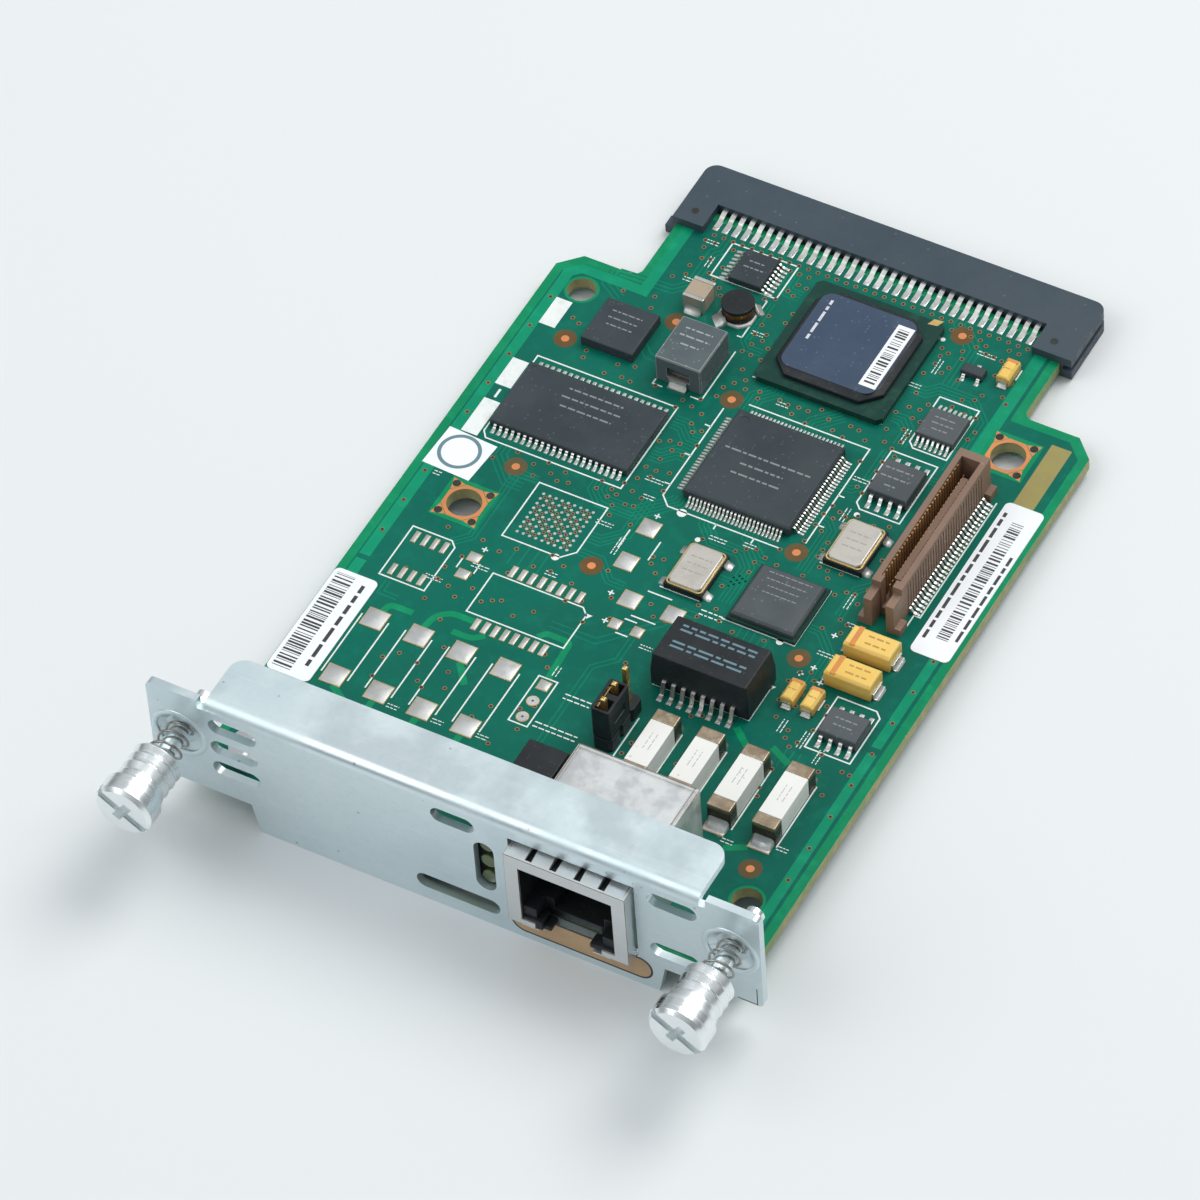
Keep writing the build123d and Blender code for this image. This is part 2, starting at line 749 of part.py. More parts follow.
def mezzanine_contacts():
    """Solder legs on both sides of the connector."""
    middle = at(mezz_first_pin) + (mezz_pins - 1) / 2 * mezz_pitch
    one = lead(mezz_width / 2, mezz_lead_reach, mezz_lead_rise, mezz_lead_foot, mezz_lead_thick,
               mezz_lead_width)
    legs = lead_row(mezz_x, middle, 0, mezz_pins, mezz_pitch, one)
    return legs + lead_row(mezz_x, middle, 180, mezz_pins, mezz_pitch, one)


def header_base():
    """Three joined cells with cut corners, one round each pin."""
    base = None
    for x, y in header_places():
        cell = slab(x, y, header_width, header_pitch, over(0), over(header_height))
        cell = chamfer(cell.edges().filter_by(Axis.Z), 0.4)
        base = cell if base is None else base + cell
    for x, y in header_places():
        base -= slab(x, y, header_pin_size, header_pin_size, over(-1), over(header_height + 1))
    return base


def header_pin_set():
    pins = []
    for x, y in header_places():
        pin = slab(x, y, header_pin_size, header_pin_size, over(-board_thick - pin_length),
                   over(header_pin_top))
        pins.append(chamfer(pin.faces().sort_by(Axis.Z)[-1].edges(), 0.15))
    return pins


def shunt_middle():
    """The shunt sits on the two front pins."""
    places = header_places()
    return header_x, (places[0][1] + places[1][1]) / 2


def jumper_shunt():
    """The plastic cap of the jumper, open at the top over its two pins."""
    x, y = shunt_middle()
    low = over(header_height + shunt_low_gap)
    high = low + shunt_height
    cap = slab(x, y, shunt_width, shunt_length, low, high)
    cap = chamfer(cap.edges().filter_by(Axis.Z), 0.2)
    for pin_x, pin_y in header_places()[:2]:
        cap -= slab(pin_x, pin_y, shunt_hole, shunt_hole, low - 1, high + 1)
    wall = x - shunt_hole / 2
    cap -= block(wall, wall + shunt_clip_slot, y - header_pitch / 2, y + header_pitch / 2,
                 low - 1, high + 1)
    grip = shunt_grip_height
    for side in (-1, 1):
        cap -= slab(x + side * shunt_width / 2, y, 0.3, shunt_length * 0.5, low + grip, low + grip + 1.2)
    return cap


def shunt_clip():
    """The thin contact strip inside the shunt that joins its two pins."""
    x, y = shunt_middle()
    low = over(header_height + shunt_low_gap)
    wall = x - shunt_hole / 2 + 0.05
    reach = header_pitch / 2 + header_pin_size / 2
    strip = block(wall, wall + shunt_clip_thick, y - reach, y + reach, low + 0.4, low + shunt_height - 0.4)
    return strip


def processor():
    x, v = processor_at
    half = processor_size / 2
    body = chip_body(x, at(v), processor_size, processor_size, over(chip_lift), over(processor_height),
                     0.25, 0.6)
    leads = []
    one = lead(half, half + processor_lead_out, processor_lead_rise, processor_lead_foot, chip_lead_thick,
               processor_lead_width)
    for turn in (0, 90, 180, 270):
        leads += lead_row(x, at(v), turn, processor_leads_a_side, processor_pitch, one)
    return body, leads


def two_row_chip(place, size, row, turn, dimple=0.0):
    """A chip with leads on two sides: body and leads. turn is the side of its first row."""
    x, y = place[0], at(place[1])
    length, width, height = size
    count, pitch, out, lead_width, foot = row
    across = (width, length) if turn == 0 else (length, width)
    body = chip_body(x, y, across[0], across[1], over(chip_lift), over(height), dimple=dimple)
    one = lead(width / 2, width / 2 + out, height * 0.45, foot, chip_lead_thick, lead_width)
    leads = lead_row(x, y, turn, count, pitch, one)
    leads += lead_row(x, y, turn + 180, count, pitch, one)
    return body, leads


def framer():
    """A large ball-grid chip: a thin base board and a moulded cap with cut corners."""
    x, y = framer_at[0], at(framer_at[1])
    base = slab(x, y, framer_size, framer_size, over(0), over(framer_base_height))
    base = chamfer(base.edges().filter_by(Axis.Z), 0.6)
    low, high = over(framer_base_height), over(framer_base_height + framer_cap_height)
    cap = slab(x, y, framer_cap_size, framer_cap_size, low, high)
    cap = chamfer(cap.edges().filter_by(Axis.Z), framer_cap_chamfer)
    cap = chamfer(cap.faces().sort_by(Axis.Z)[-1].edges(), framer_cap_height * 0.7, framer_cap_height * 0.5)
    return base, cap


def line_chip():
    x, y = line_chip_at[0], at(line_chip_at[1])
    base = slab(x, y, line_chip_size, line_chip_size, over(0), over(line_base_height))
    low, high = over(line_base_height), over(line_base_height + line_cap_height)
    cap = chip_body(x, y, line_cap_size, line_cap_size, low, high, 0.3)
    return base, cap


def regulator():
    x, y = regulator_at[0], at(regulator_at[1])
    return chip_body(x, y, regulator_size, regulator_size, over(0), over(regulator_height))


def power_inductor():
    x, y = power_inductor_at[0], at(power_inductor_at[1])
    width, depth, height = power_inductor_size
    body = slab(x, y, width, depth, over(0.1), over(height))
    body = chamfer(body.edges().filter_by(Axis.Z), inductor_edge)
    body = chamfer(body.faces().sort_by(Axis.Z)[-1].edges(), inductor_edge)
    opening, opening_height, opening_depth = inductor_window
    clips = []
    for side in (-1, 1):
        wall = y + side * depth / 2
        t = inductor_clip_thick
        body -= slab(x, wall, opening, 2 * opening_depth, over(inductor_clip_height),
                     over(inductor_clip_height + opening_height))
        profile = [(wall, over(0)), (wall + side * inductor_clip_out, over(0)),
                   (wall + side * inductor_clip_out, over(t)), (wall + side * t, over(t)),
                   (wall + side * t, over(inductor_clip_height)), (wall, over(inductor_clip_height))]
        clips.append(prism_x(profile, x - inductor_clip_width / 2, x + inductor_clip_width / 2))
    return body, clips


def drum_inductor():
    """A ferrite bobbin, its winding and its white base."""
    x, y = drum_at[0], at(drum_at[1])
    low = over(drum_base_height)
    high = low + drum_height
    core = rod_z(x, y, drum_r, low, low + drum_cheek) + rod_z(x, y, drum_core_r, low, high)
    core += rod_z(x, y, drum_r, high - drum_cheek, high)
    winding = rod_z(x, y, drum_r - 0.25, low + drum_cheek, high - drum_cheek)
    winding -= rod_z(x, y, drum_core_r, low, high)
    base = slab(x, y, drum_base_size, drum_base_size, over(0), low)
    base = chamfer(base.edges().filter_by(Axis.Z), 1.1)
    return core, winding, base


def ended_block(x, y, size, end, lift=0.0):
    """A chip part along Y: its middle, and a metal end piece at each end."""
    width, depth, height = size
    inset = 0.04
    body = slab(x, y, width - inset, depth - 2 * end, over(lift), over(height - inset))
    ends = [slab(x, y + side * (depth - end) / 2, width, end, over(lift), over(height)) for side in (-1, 1)]
    return body, ends


def tantalum(place, size, turn):
    """A moulded capacitor with folded terminals at both ends: body and terminals."""
    x, y = place[0], at(place[1])
    width, depth, height = size
    length = width if turn == 0 else depth
    across = depth if turn == 0 else width
    body = Box(length, across, height - 0.1)
    body = chamfer(body.faces().sort_by(Axis.Z)[-1].edges().filter_by(Axis.X), 0.35)
    body = chamfer(body.faces().sort_by(Axis.Z)[-1].edges().filter_by(Axis.Y), 0.2)
    body = Pos(x, y, over(0.1) + (height - 0.1) / 2) * Rot(0, 0, turn) * body
    terminals = []
    half = across * 0.35
    t = terminal_thick
    profile = [(length / 2, 0), (length / 2 + terminal_out, 0), (length / 2 + terminal_out, t),
               (length / 2 + t, t), (length / 2 + t, terminal_rise), (length / 2, terminal_rise)]
    face = make_face(Plane.XZ * Polyline(*profile, close=True))
    one = Pos(0, -half, 0) * extrude(face, 2 * half, dir=(0, 1, 0))
    for flip in (0, 180):
        terminals.append(Pos(x, y, board_top) * Rot(0, 0, turn + flip) * one)
    return body, terminals


def oscillator(place):
    """A ceramic base with a metal lid."""
    x, y = place[0], at(place[1])
    width, depth = oscillator_size
    high = oscillator_base_height
    base = slab(x, y, width, depth, over(0), over(high))
    lid = slab(x, y, width - 2 * oscillator_lid_margin, depth - 2 * oscillator_lid_margin,
               over(high), over(high + oscillator_lid_height))
    lid = chamfer(lid.edges().filter_by(Axis.Z), 0.5)
    lid = chamfer(lid.faces().sort_by(Axis.Z)[-1].edges(), 0.15)
    return base, lid


def transformer():
    x, y = transformer_at[0], at(transformer_at[1])
    width, depth, height = transformer_size
    low, high = over(transformer_lift), over(transformer_lift + height)
    body = slab(x, y, width, depth, low, high)
    taper = height * 0.5 * tan(radians(6))
    rim = body.faces().sort_by(Axis.Z)[-1].edges()
    body = chamfer(rim, height * 0.5, taper)
    one = bent_lead(depth / 2, depth / 2 + transformer_lead_out, transformer_lead_rise, 0.7, 0.25, 0.5, 0.35)
    leads = lead_row(x, y, 90, transformer_leads_a_side, transformer_pitch, one)
    leads += lead_row(x, y, 270, transformer_leads_a_side, transformer_pitch, one)
    return body, leads


def paper_label(x, v, width, depth):
    label = slab(x, at(v), width, depth, over(0), over(label_thick))
    return chamfer(label.edges().filter_by(Axis.Z), label_corner)


def under_chips():
    """Small chip parts soldered to the board's lower side, in rows under the large chips."""
    chips = []
    low = over(-board_thick)
    width, depth, height = under_chip_size
    for x, v in (processor_at, framer_at, memory_at):
        for i in range(under_chip_columns):
            for j in range(under_chip_rows):
                place_x = x + (i - (under_chip_columns - 1) / 2) * under_chip_pitch[0]
                place_y = at(v) + (j - (under_chip_rows - 1) / 2) * under_chip_pitch[1]
                chips.append(slab(place_x, place_y, width, depth, low - height, low))
    return chips


save("printed_board", printed_board())
save("front_bracket", front_bracket())
save("bracket_screws", *fixing_screws())
for side_name, side_sign in (("left", -1), ("right", 1)):
    save(f"thumbscrew_{side_name}", thumbscrew(side_sign))
    save(f"spring_{side_name}", spring(side_sign))

save("jack_shield", jack_shield())
save("jack_insert", jack_insert())
save("jack_contacts", *jack_contacts())
save("lamp_block", lamp_block())
save("lamp_lenses", *lamp_lenses())
save("edge_connector_housing", edge_housing())
save("edge_connector_contacts", *edge_contacts())
save("mezzanine_housing", mezzanine_housing())
save("mezzanine_contacts", *mezzanine_contacts())
save("header_base", header_base())
save("header_pins", *header_pin_set())
save("jumper_shunt", jumper_shunt())
save("shunt_clip", shunt_clip())

processor_body, processor_leads = processor()
save("processor_body", processor_body)
save("processor_leads", *processor_leads)
memory_body, memory_leads = two_row_chip(memory_at, memory_size, memory_row, 90, dimple=0.35)
save("memory_body", memory_body)
save("memory_leads", *memory_leads)
framer_base, framer_cap = framer()
save("framer_base", framer_base)
save("framer_cap", framer_cap)
line_base, line_cap = line_chip()
save("line_chip_base", line_base)
save("line_chip_cap", line_cap)
save("regulator_chip", regulator())

buffer_body, buffer_leads = two_row_chip(buffer_at, buffer_size, buffer_row, 0)
logic_body, logic_leads = two_row_chip(logic_at, logic_size, logic_row, 90)
save("buffer_chip", buffer_body)
save("logic_chip", logic_body)
save("fine_chip_leads", *(buffer_leads + logic_leads))
flash_body, flash_leads = two_row_chip(flash_at, flash_size, flash_row, 90)
monitor_body, monitor_leads = two_row_chip(monitor_at, monitor_size, monitor_row, 90)
save("flash_chip", flash_body)
save("monitor_chip", monitor_body)
transistor_body, transistor_leads = two_row_chip(transistor_at, transistor_size, transistor_row, 90)
save("transistor_body", transistor_body)
save("small_chip_leads", *(flash_leads + monitor_leads + transistor_leads))

inductor_body, inductor_clips = power_inductor()
save("power_inductor", inductor_body)
save("power_inductor_clips", *inductor_clips)
drum_core, drum_winding, drum_base = drum_inductor()
save("drum_inductor_core", drum_core)
save("drum_inductor_winding", drum_winding)
save("drum_inductor_base", drum_base)
ceramic_body, ceramic_ends = ended_block(ceramic_at[0], at(ceramic_at[1]), ceramic_size, ceramic_end)
save("ceramic_capacitor", ceramic_body)
save("ceramic_capacitor_ends", *ceramic_ends)

large_bodies, small_bodies, all_terminals = [], [], []
for place in large_tantalum_at:
    body, terminals = tantalum(place, large_tantalum_size, 0)
    large_bodies.append(body)
    all_terminals += terminals
for place in small_tantalum_at:
    body, terminals = tantalum(place, small_tantalum_size, 90)
    small_bodies.append(body)
    all_terminals += terminals
save("large_tantalum_capacitors", *large_bodies)
save("small_tantalum_capacitors", *small_bodies)
save("tantalum_terminals", *all_terminals)

for number, place in enumerate(oscillator_at, 1):
    base, lid = oscillator(place)
    save(f"oscillator_base_{number}", base)
    save(f"oscillator_lid_{number}", lid)
transformer_body, transformer_leads = transformer()
save("transformer_body", transformer_body)
save("transformer_leads", *transformer_leads)

fuse_caps = []
for number in range(fuse_count):
    fuse_x = fuse_first_x + number * fuse_pitch
    body, caps = ended_block(fuse_x, at(fuse_mid), fuse_size, fuse_cap_length)
    save(f"fuse_{number + 1}", body)
    fuse_caps += caps
save("fuse_caps", *fuse_caps)

save("left_label", paper_label(*left_label))
save("right_label", paper_label(*right_label))
save("under_chips", *under_chips())
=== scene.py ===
"""Looks of a small plug-in interface card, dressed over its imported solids.

Shapes are drawn in millimetres and turned to metres when a piece is finished. X runs along the front
bracket, Y from the thumbscrews to the edge connector, and Z is up. The drawing's Y counts from near the
middle of the board, so that the bracket's front face lies at DRAWN_FACE.
"""
import json
import math
import random

import bmesh
import bpy
from mathutils import Matrix, Vector

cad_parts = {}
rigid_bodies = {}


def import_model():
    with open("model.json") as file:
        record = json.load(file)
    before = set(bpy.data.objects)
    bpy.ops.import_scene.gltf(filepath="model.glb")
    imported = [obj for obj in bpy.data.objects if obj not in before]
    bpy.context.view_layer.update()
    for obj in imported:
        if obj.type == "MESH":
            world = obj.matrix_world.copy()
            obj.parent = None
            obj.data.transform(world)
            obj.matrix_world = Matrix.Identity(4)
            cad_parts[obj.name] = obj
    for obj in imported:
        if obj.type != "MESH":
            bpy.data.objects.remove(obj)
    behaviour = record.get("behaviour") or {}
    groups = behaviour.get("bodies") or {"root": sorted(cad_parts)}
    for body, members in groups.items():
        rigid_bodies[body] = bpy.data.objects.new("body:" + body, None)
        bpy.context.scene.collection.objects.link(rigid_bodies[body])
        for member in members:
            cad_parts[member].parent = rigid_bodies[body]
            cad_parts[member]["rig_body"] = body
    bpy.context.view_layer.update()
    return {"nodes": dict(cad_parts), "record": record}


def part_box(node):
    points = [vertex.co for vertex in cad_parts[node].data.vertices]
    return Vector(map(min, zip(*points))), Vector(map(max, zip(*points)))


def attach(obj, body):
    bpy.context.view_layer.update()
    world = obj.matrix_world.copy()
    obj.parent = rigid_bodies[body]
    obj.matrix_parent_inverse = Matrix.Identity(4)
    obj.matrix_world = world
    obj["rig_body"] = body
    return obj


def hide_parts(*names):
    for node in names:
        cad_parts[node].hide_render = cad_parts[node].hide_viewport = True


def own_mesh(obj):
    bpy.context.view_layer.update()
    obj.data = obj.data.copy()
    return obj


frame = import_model()

MM = 0.001
SEED = 7
DRAWN_FACE = -47.85
FRAME_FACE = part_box("front_bracket")[0].y / MM
SHIFT = Vector((0, FRAME_FACE - DRAWN_FACE, 0))


def low_of(node, axis):
    """A node's lowest value along an axis, in millimetres of the drawing."""
    return (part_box(node)[0] / MM - SHIFT)["xyz".index(axis)]


def high_of(node, axis):
    """A node's highest value along an axis, in millimetres of the drawing."""
    return (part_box(node)[1] / MM - SHIFT)["xyz".index(axis)]


def middle_of(node, axes="xy"):
    """The middle of a node along some axes."""
    return [(low_of(node, axis) + high_of(node, axis)) / 2 for axis in axes]


def sides_of(node, out=0.0):
    """A node's low and high along X, then along Y, each drawn out by a margin."""
    return (low_of(node, "x") - out, high_of(node, "x") + out,
            low_of(node, "y") - out, high_of(node, "y") + out)


# Main sizes, from the solids
TOP = high_of("printed_board", "z")
HALF = high_of("printed_board", "x")
BOARD_FRONT = low_of("printed_board", "y")
BOARD_BACK = high_of("printed_board", "y")
BOARD_LOW = low_of("printed_board", "z")
FACE = low_of("front_bracket", "y")
NECK = high_of("edge_connector_housing", "x") - 1.6
SHOULDER = FACE + 90.4
CHAMFER = 2.5

# Layers on the board's upper side, above the laminate
PLANE = 0.012
POUR = 0.024
TRACE = 0.016
COPPER = 0.034
SILK = 0.04
PAD = 0.06
TIN = 0.1

# Places that scene and solids share
HOLES = ((-30.7, 37.65, 1.8), (30.5, -35.45, 1.8), (-26.9, 2.15, 2.1), (26.8, 36.35, 2.1),
         (-30.0, -41.75, 1.6), (30.0, -41.75, 1.6))
RINGED = HOLES[2:4]
SPOTS = ((-28.7, 29.9), (-24.2, 9.7), (-18.1, 38.0), (-6.4, 30.0), (13.4, 50.8), (11.5, 12.4),
         (19.2, -1.6), (-8.9, 0.2), (28.7, -31.3))


# Mesh helpers
HOLE_SIDES = 32
WELD = 0.0005


def box(bm, x0, x1, y0, y1, z0, z1):
    """A box between two corners."""
    made = bmesh.ops.create_cube(bm, size=1)["verts"]
    bmesh.ops.scale(bm, vec=(x1 - x0, y1 - y0, z1 - z0), verts=made)
    bmesh.ops.translate(bm, vec=((x0 + x1) / 2, (y0 + y1) / 2, (z0 + z1) / 2), verts=made)
    return made


def soft_box(bm, x0, x1, y0, y1, z0, z1, edge, segments=2):
    """A box with rounded edges."""
    made = box(bm, x0, x1, y0, y1, z0, z1)
    edges = list({e for v in made for e in v.link_edges})
    bmesh.ops.bevel(bm, geom=edges, offset=edge, segments=segments, affect="EDGES", profile=0.5, material=-1)


def disc(bm, x, y, z0, z1, radius, sides=16):
    """An upright disc or rod."""
    place = Matrix.Translation((x, y, (z0 + z1) / 2))
    bmesh.ops.create_cone(bm, cap_ends=True, segments=sides, radius1=radius, radius2=radius,
                          depth=z1 - z0, matrix=place)


def ring(bm, x, y, z0, z1, inner, outer, sides=16):
    """A flat ring: a square section spun about Z."""
    corners = [bm.verts.new((x + r, y, z)) for r, z in ((inner, z0), (outer, z0), (outer, z1), (inner, z1))]
    edges = [bm.edges.new((corners[i], corners[(i + 1) % 4])) for i in range(4)]
    bmesh.ops.spin(bm, geom=corners + edges, cent=(x, y, 0), axis=(0, 0, 1), angle=math.tau, steps=sides,
                   use_merge=True)


def raise_faces(bm, faces, height):
    """Turns flat faces into a closed plate."""
    grown = bmesh.ops.extrude_face_region(bm, geom=faces)["geom"]
    verts = [g for g in grown if isinstance(g, bmesh.types.BMVert)]
    bmesh.ops.translate(bm, vec=(0, 0, height), verts=verts)


def plate(bm, points, z0, z1, holes=()):
    """A flat plate of any outline, with round holes cut out."""
    edges = []
    loops = [points]
    for x, y, radius in holes:
        turns = [math.tau * i / HOLE_SIDES for i in range(HOLE_SIDES)]
        loops.append([(x + radius * math.cos(a), y + radius * math.sin(a)) for a in turns])
    for loop in loops:
        verts = [bm.verts.new((x, y, z0)) for x, y in loop]
        edges += [bm.edges.new((verts[i], verts[(i + 1) % len(verts)])) for i in range(len(verts))]
    made = bmesh.ops.triangle_fill(bm, edges=edges, use_beauty=True)["geom"]
    raise_faces(bm, [g for g in made if isinstance(g, bmesh.types.BMFace)], z1 - z0)


def rounded(points, radius, steps=3):
    """A line whose inner corners are rounded."""
    spots = [Vector(p) for p in points]
    line = [spots[0]]
    for before, spot, after in zip(spots, spots[1:], spots[2:]):
        reach = min(radius, (before - spot).length / 2, (after - spot).length / 2)
        first = spot + (before - spot).normalized() * reach
        last = spot + (after - spot).normalized() * reach
        for i in range(steps + 1):
            t = i / steps
            line.append(first * (1 - t) ** 2 + spot * 2 * t * (1 - t) + last * t ** 2)
    line.append(spots[-1])
    return line


def round_rect(x0, x1, y0, y1, radius, steps=4):
    """The outline of a rectangle with rounded corners."""
    centres = ((x1 - radius, y1 - radius), (x0 + radius, y1 - radius), (x0 + radius, y0 + radius),
               (x1 - radius, y0 + radius))
    points = []
    for quarter, (x, y) in enumerate(centres):
        for i in range(steps + 1):
            angle = math.radians(90) * (quarter + i / steps)
            points.append((x + radius * math.cos(angle), y + radius * math.sin(angle)))
    return points


def ribbon(bm, points, width, z0, z1, closed=False):
    """A flat line of a given width along points, as a closed solid."""
    spots = [Vector((p[0], p[1], z0)) for p in points]
    count = len(spots)
    pairs = []
    for i, spot in enumerate(spots):
        into = spot - spots[i - 1] if i or closed else spots[1] - spot
        out = spots[(i + 1) % count] - spot if i < count - 1 or closed else into
        into, out = into.normalized(), out.normalized()
        along = (into + out).normalized()
        across = Vector((-along.y, along.x, 0)) * (width / 2 / max(0.4, along.dot(out)))
        pairs.append((bm.verts.new(spot + across), bm.verts.new(spot - across)))
    faces = []
    for i in range(count if closed else count - 1):
        a, b = pairs[i], pairs[(i + 1) % count]
        faces.append(bm.faces.new((a[0], a[1], b[1], b[0])))
    raise_faces(bm, faces, z1 - z0)


def ribbons(bm, lines, width, z0, z1, closed=False):
    """Flat lines of one width."""
    for points in lines:
        ribbon(bm, points, width, z0, z1, closed)


def rect_line(x0, x1, y0, y1):
    """The corners of a rectangle."""
    return ((x0, y0), (x1, y0), (x1, y1), (x0, y1))


def shape_from(bm):
    """A loose mesh that is stamped many times."""
    shape = bpy.data.meshes.new("stamp")
    bm.to_mesh(shape)
    bm.free()
    return shape


def stamp(bm, shape, x, y, z, turn=0.0):
    """Adds a copy of a loose mesh at a place, turned about Z by degrees."""
    place = Matrix.Translation((x, y, z)) @ Matrix.Rotation(math.radians(turn), 4, "Z")
    shape.transform(place)
    bm.from_mesh(shape)
    shape.transform(place.inverted())


def shade(bm, angle=35):
    """Smooth faces, with sharp edges where they turn by more than an angle."""
    limit = math.radians(angle)
    for face in bm.faces:
        face.smooth = True
    for edge in bm.edges:
        edge.smooth = edge.is_manifold and edge.calc_face_angle(0) < limit


def weigh_normals(mesh, angle=35):
    """Lets the normals lean towards the larger faces, so that wide flat faces stay flat."""
    limit = math.cos(math.radians(angle))
    around = [[] for _ in mesh.vertices]
    faces = [(face.normal.copy(), face.area, list(face.vertices)) for face in mesh.polygons]
    for normal, area, corners in faces:
        for corner in corners:
            around[corner].append((normal, area))
    normals = []
    for normal, _, corners in faces:
        for corner in corners:
            near = [other * area for other, area in around[corner] if other.dot(normal) > limit]
            normals.append(sum(near, Vector()).normalized())
    mesh.normals_split_custom_set(normals)


def piece(bm, name, *materials, body="card", slot="board", replaces=(), closed=True, angle=35,
          weigh=False):
    """Turns a shape in millimetres into a piece that rides on a body."""
    bmesh.ops.translate(bm, vec=SHIFT, verts=bm.verts)
    bmesh.ops.scale(bm, vec=(MM, MM, MM), verts=bm.verts)
    if closed:
        bmesh.ops.recalc_face_normals(bm, faces=bm.faces)
    shade(bm, angle)
    mesh = bpy.data.meshes.new(name)
    bm.to_mesh(mesh)
    bm.free()
    for material in materials:
        mesh.materials.append(material)
    if weigh:
        weigh_normals(mesh, angle)
    made = bpy.data.objects.new(name, mesh)
    bpy.context.scene.collection.objects.link(made)
    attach(made, body)
    if replaces:
        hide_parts(*replaces)
    return made


def copied(node):
    """A merged copy of a solid's mesh, in millimetres."""
    bm = bmesh.new()
    bm.from_mesh(frame["nodes"][node].data)
    bmesh.ops.scale(bm, vec=(1 / MM, 1 / MM, 1 / MM), verts=bm.verts)
    bmesh.ops.translate(bm, vec=-SHIFT, verts=bm.verts)
    bmesh.ops.remove_doubles(bm, verts=bm.verts, dist=WELD)
    bmesh.ops.dissolve_limit(bm, angle_limit=math.radians(1), verts=bm.verts, edges=bm.edges)
    return bm


def soften(bm, width, segments):
    """Rounds the sharp edges of a shape, and gives the new faces."""
    limit = math.radians(30)
    edges = [e for e in bm.edges if e.is_manifold and e.calc_face_angle(0) > limit]
    return bmesh.ops.bevel(bm, geom=edges, offset=width, segments=segments, affect="EDGES", profile=0.5,
                           material=-1, clamp_overlap=True)["faces"]


def dressed(node, material, width=0.08, segments=2, worn=None):
    """A softened copy of a solid in its place, with its own finish and, if one is given, a second finish on
    its rounded edges: a painted highlight on the bracket, darker brown on the jack's shield and chipped grey
    on the inductor.
    """
    bm = copied(node)
    edges = soften(bm, width, segments) if width else []
    # The second finish goes on the rounded edges; on the bracket it is a painted highlight.
    if worn:
        for face in edges:
            face.material_index = 1
    slots = {s["node"]: s["material_slot"] for s in frame["record"]["subparts"]}
    return piece(bm, node + "_finished", *([material, worn] if worn else [material]),
                 body=frame["nodes"][node]["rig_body"], slot=slots[node], replaces=(node,), closed=False,
                 weigh=True)


# Shader groups that several finishes share

def put(tree, kind, values=(), **settings):
    """A node with its settings and input values."""
    node = tree.nodes.new(kind)
    for key, value in settings.items():
        setattr(node, key, value)
    for key, value in values:
        node.inputs[key].default_value = value
    return node


def wire(tree, *links):
    """Joins sockets. Each link names a node, its output, the next node and its input."""
    for before, output, after, entry in links:
        tree.links.new(before.outputs[output], after.inputs[entry])


def new_group(name, inputs, output="Mask", kind="NodeSocketFloat"):
    """A group that reads Object coordinates and puts out one value."""
    tree = bpy.data.node_groups.new(name, "ShaderNodeTree")
    for label, value in inputs:
        tree.interface.new_socket(label, in_out="INPUT", socket_type="NodeSocketFloat").default_value = value
    tree.interface.new_socket(output, in_out="OUTPUT", socket_type=kind)
    where = put(tree, "ShaderNodeTexCoord")
    return tree, tree.nodes.new("NodeGroupInput"), where, tree.nodes.new("NodeGroupOutput")


def mask_between(tree, start, value, output, end):
    """Turns a value into the group's mask, from nought at Low to one at High."""
    span = put(tree, "ShaderNodeMapRange")
    wire(tree, (value, output, span, "Value"), (start, "Low", span, "From Min"),
         (start, "High", span, "From Max"), (span, "Result", end, "Mask"))
    return tree


def patches_group():
    """A mask that drifts in soft patches."""
    tree, start, where, end = new_group("patches", (("Scale", 100), ("Low", 0.4), ("High", 0.6)))
    noise = put(tree, "ShaderNodeTexNoise", (("Detail", 4), ("Roughness", 0.6)))
    wire(tree, (where, "Object", noise, "Vector"), (start, "Scale", noise, "Scale"))
    return mask_between(tree, start, noise, "Fac", end)


def grain_group():
    """A fine uneven surface."""
    inputs = (("Scale", 3000), ("Height", 0.00001))
    tree, start, where, end = new_group("grain", inputs, "Normal", "NodeSocketVector")
    noise = put(tree, "ShaderNodeTexNoise", (("Detail", 2), ("Roughness", 0.5)))
    bump = put(tree, "ShaderNodeBump", (("Strength", 1.0),))
    wire(tree, (where, "Object", noise, "Vector"), (start, "Scale", noise, "Scale"),
         (noise, "Fac", bump, "Height"), (start, "Height", bump, "Distance"),
         (bump, "Normal", end, "Normal"))
    return tree


def specks_group():
    """A mask of small round specks, of which only some cells have one."""
    tree, start, where, end = new_group("specks", (("Scale", 800), ("Size", 0.2), ("Share", 0.1)))
    cells = put(tree, "ShaderNodeTexVoronoi")
    split = put(tree, "ShaderNodeSeparateColor")
    near = put(tree, "ShaderNodeMath", operation="LESS_THAN")
    some = put(tree, "ShaderNodeMath", operation="LESS_THAN")
    both = put(tree, "ShaderNodeMath", operation="MULTIPLY")
    wire(tree, (where, "Object", cells, "Vector"), (start, "Scale", cells, "Scale"),
         (cells, "Distance", near, 0), (start, "Size", near, 1), (cells, "Color", split, "Color"),
         (split, "Red", some, 0), (start, "Share", some, 1), (near, "Value", both, 0),
         (some, "Value", both, 1), (both, "Value", end, "Mask"))
    return tree


def streaks_group():
    """A mask of long thin streaks: along X, or as rings round Y if only Y is stretched."""
    inputs = (("Scale", 100), ("Stretch Y", 30), ("Stretch Z", 30), ("Low", 0.5), ("High", 0.7))
    tree, start, where, end = new_group("streaks", inputs)
    sizes = put(tree, "ShaderNodeCombineXYZ", (("X", 1.0),))
    scaled = put(tree, "ShaderNodeVectorMath", operation="MULTIPLY")
    noise = put(tree, "ShaderNodeTexNoise", (("Detail", 2),))
    wire(tree, (start, "Stretch Y", sizes, "Y"), (start, "Stretch Z", sizes, "Z"),
         (where, "Object", scaled, 0), (sizes, "Vector", scaled, 1), (scaled, "Vector", noise, "Vector"),
         (start, "Scale", noise, "Scale"))
    return mask_between(tree, start, noise, "Fac", end)


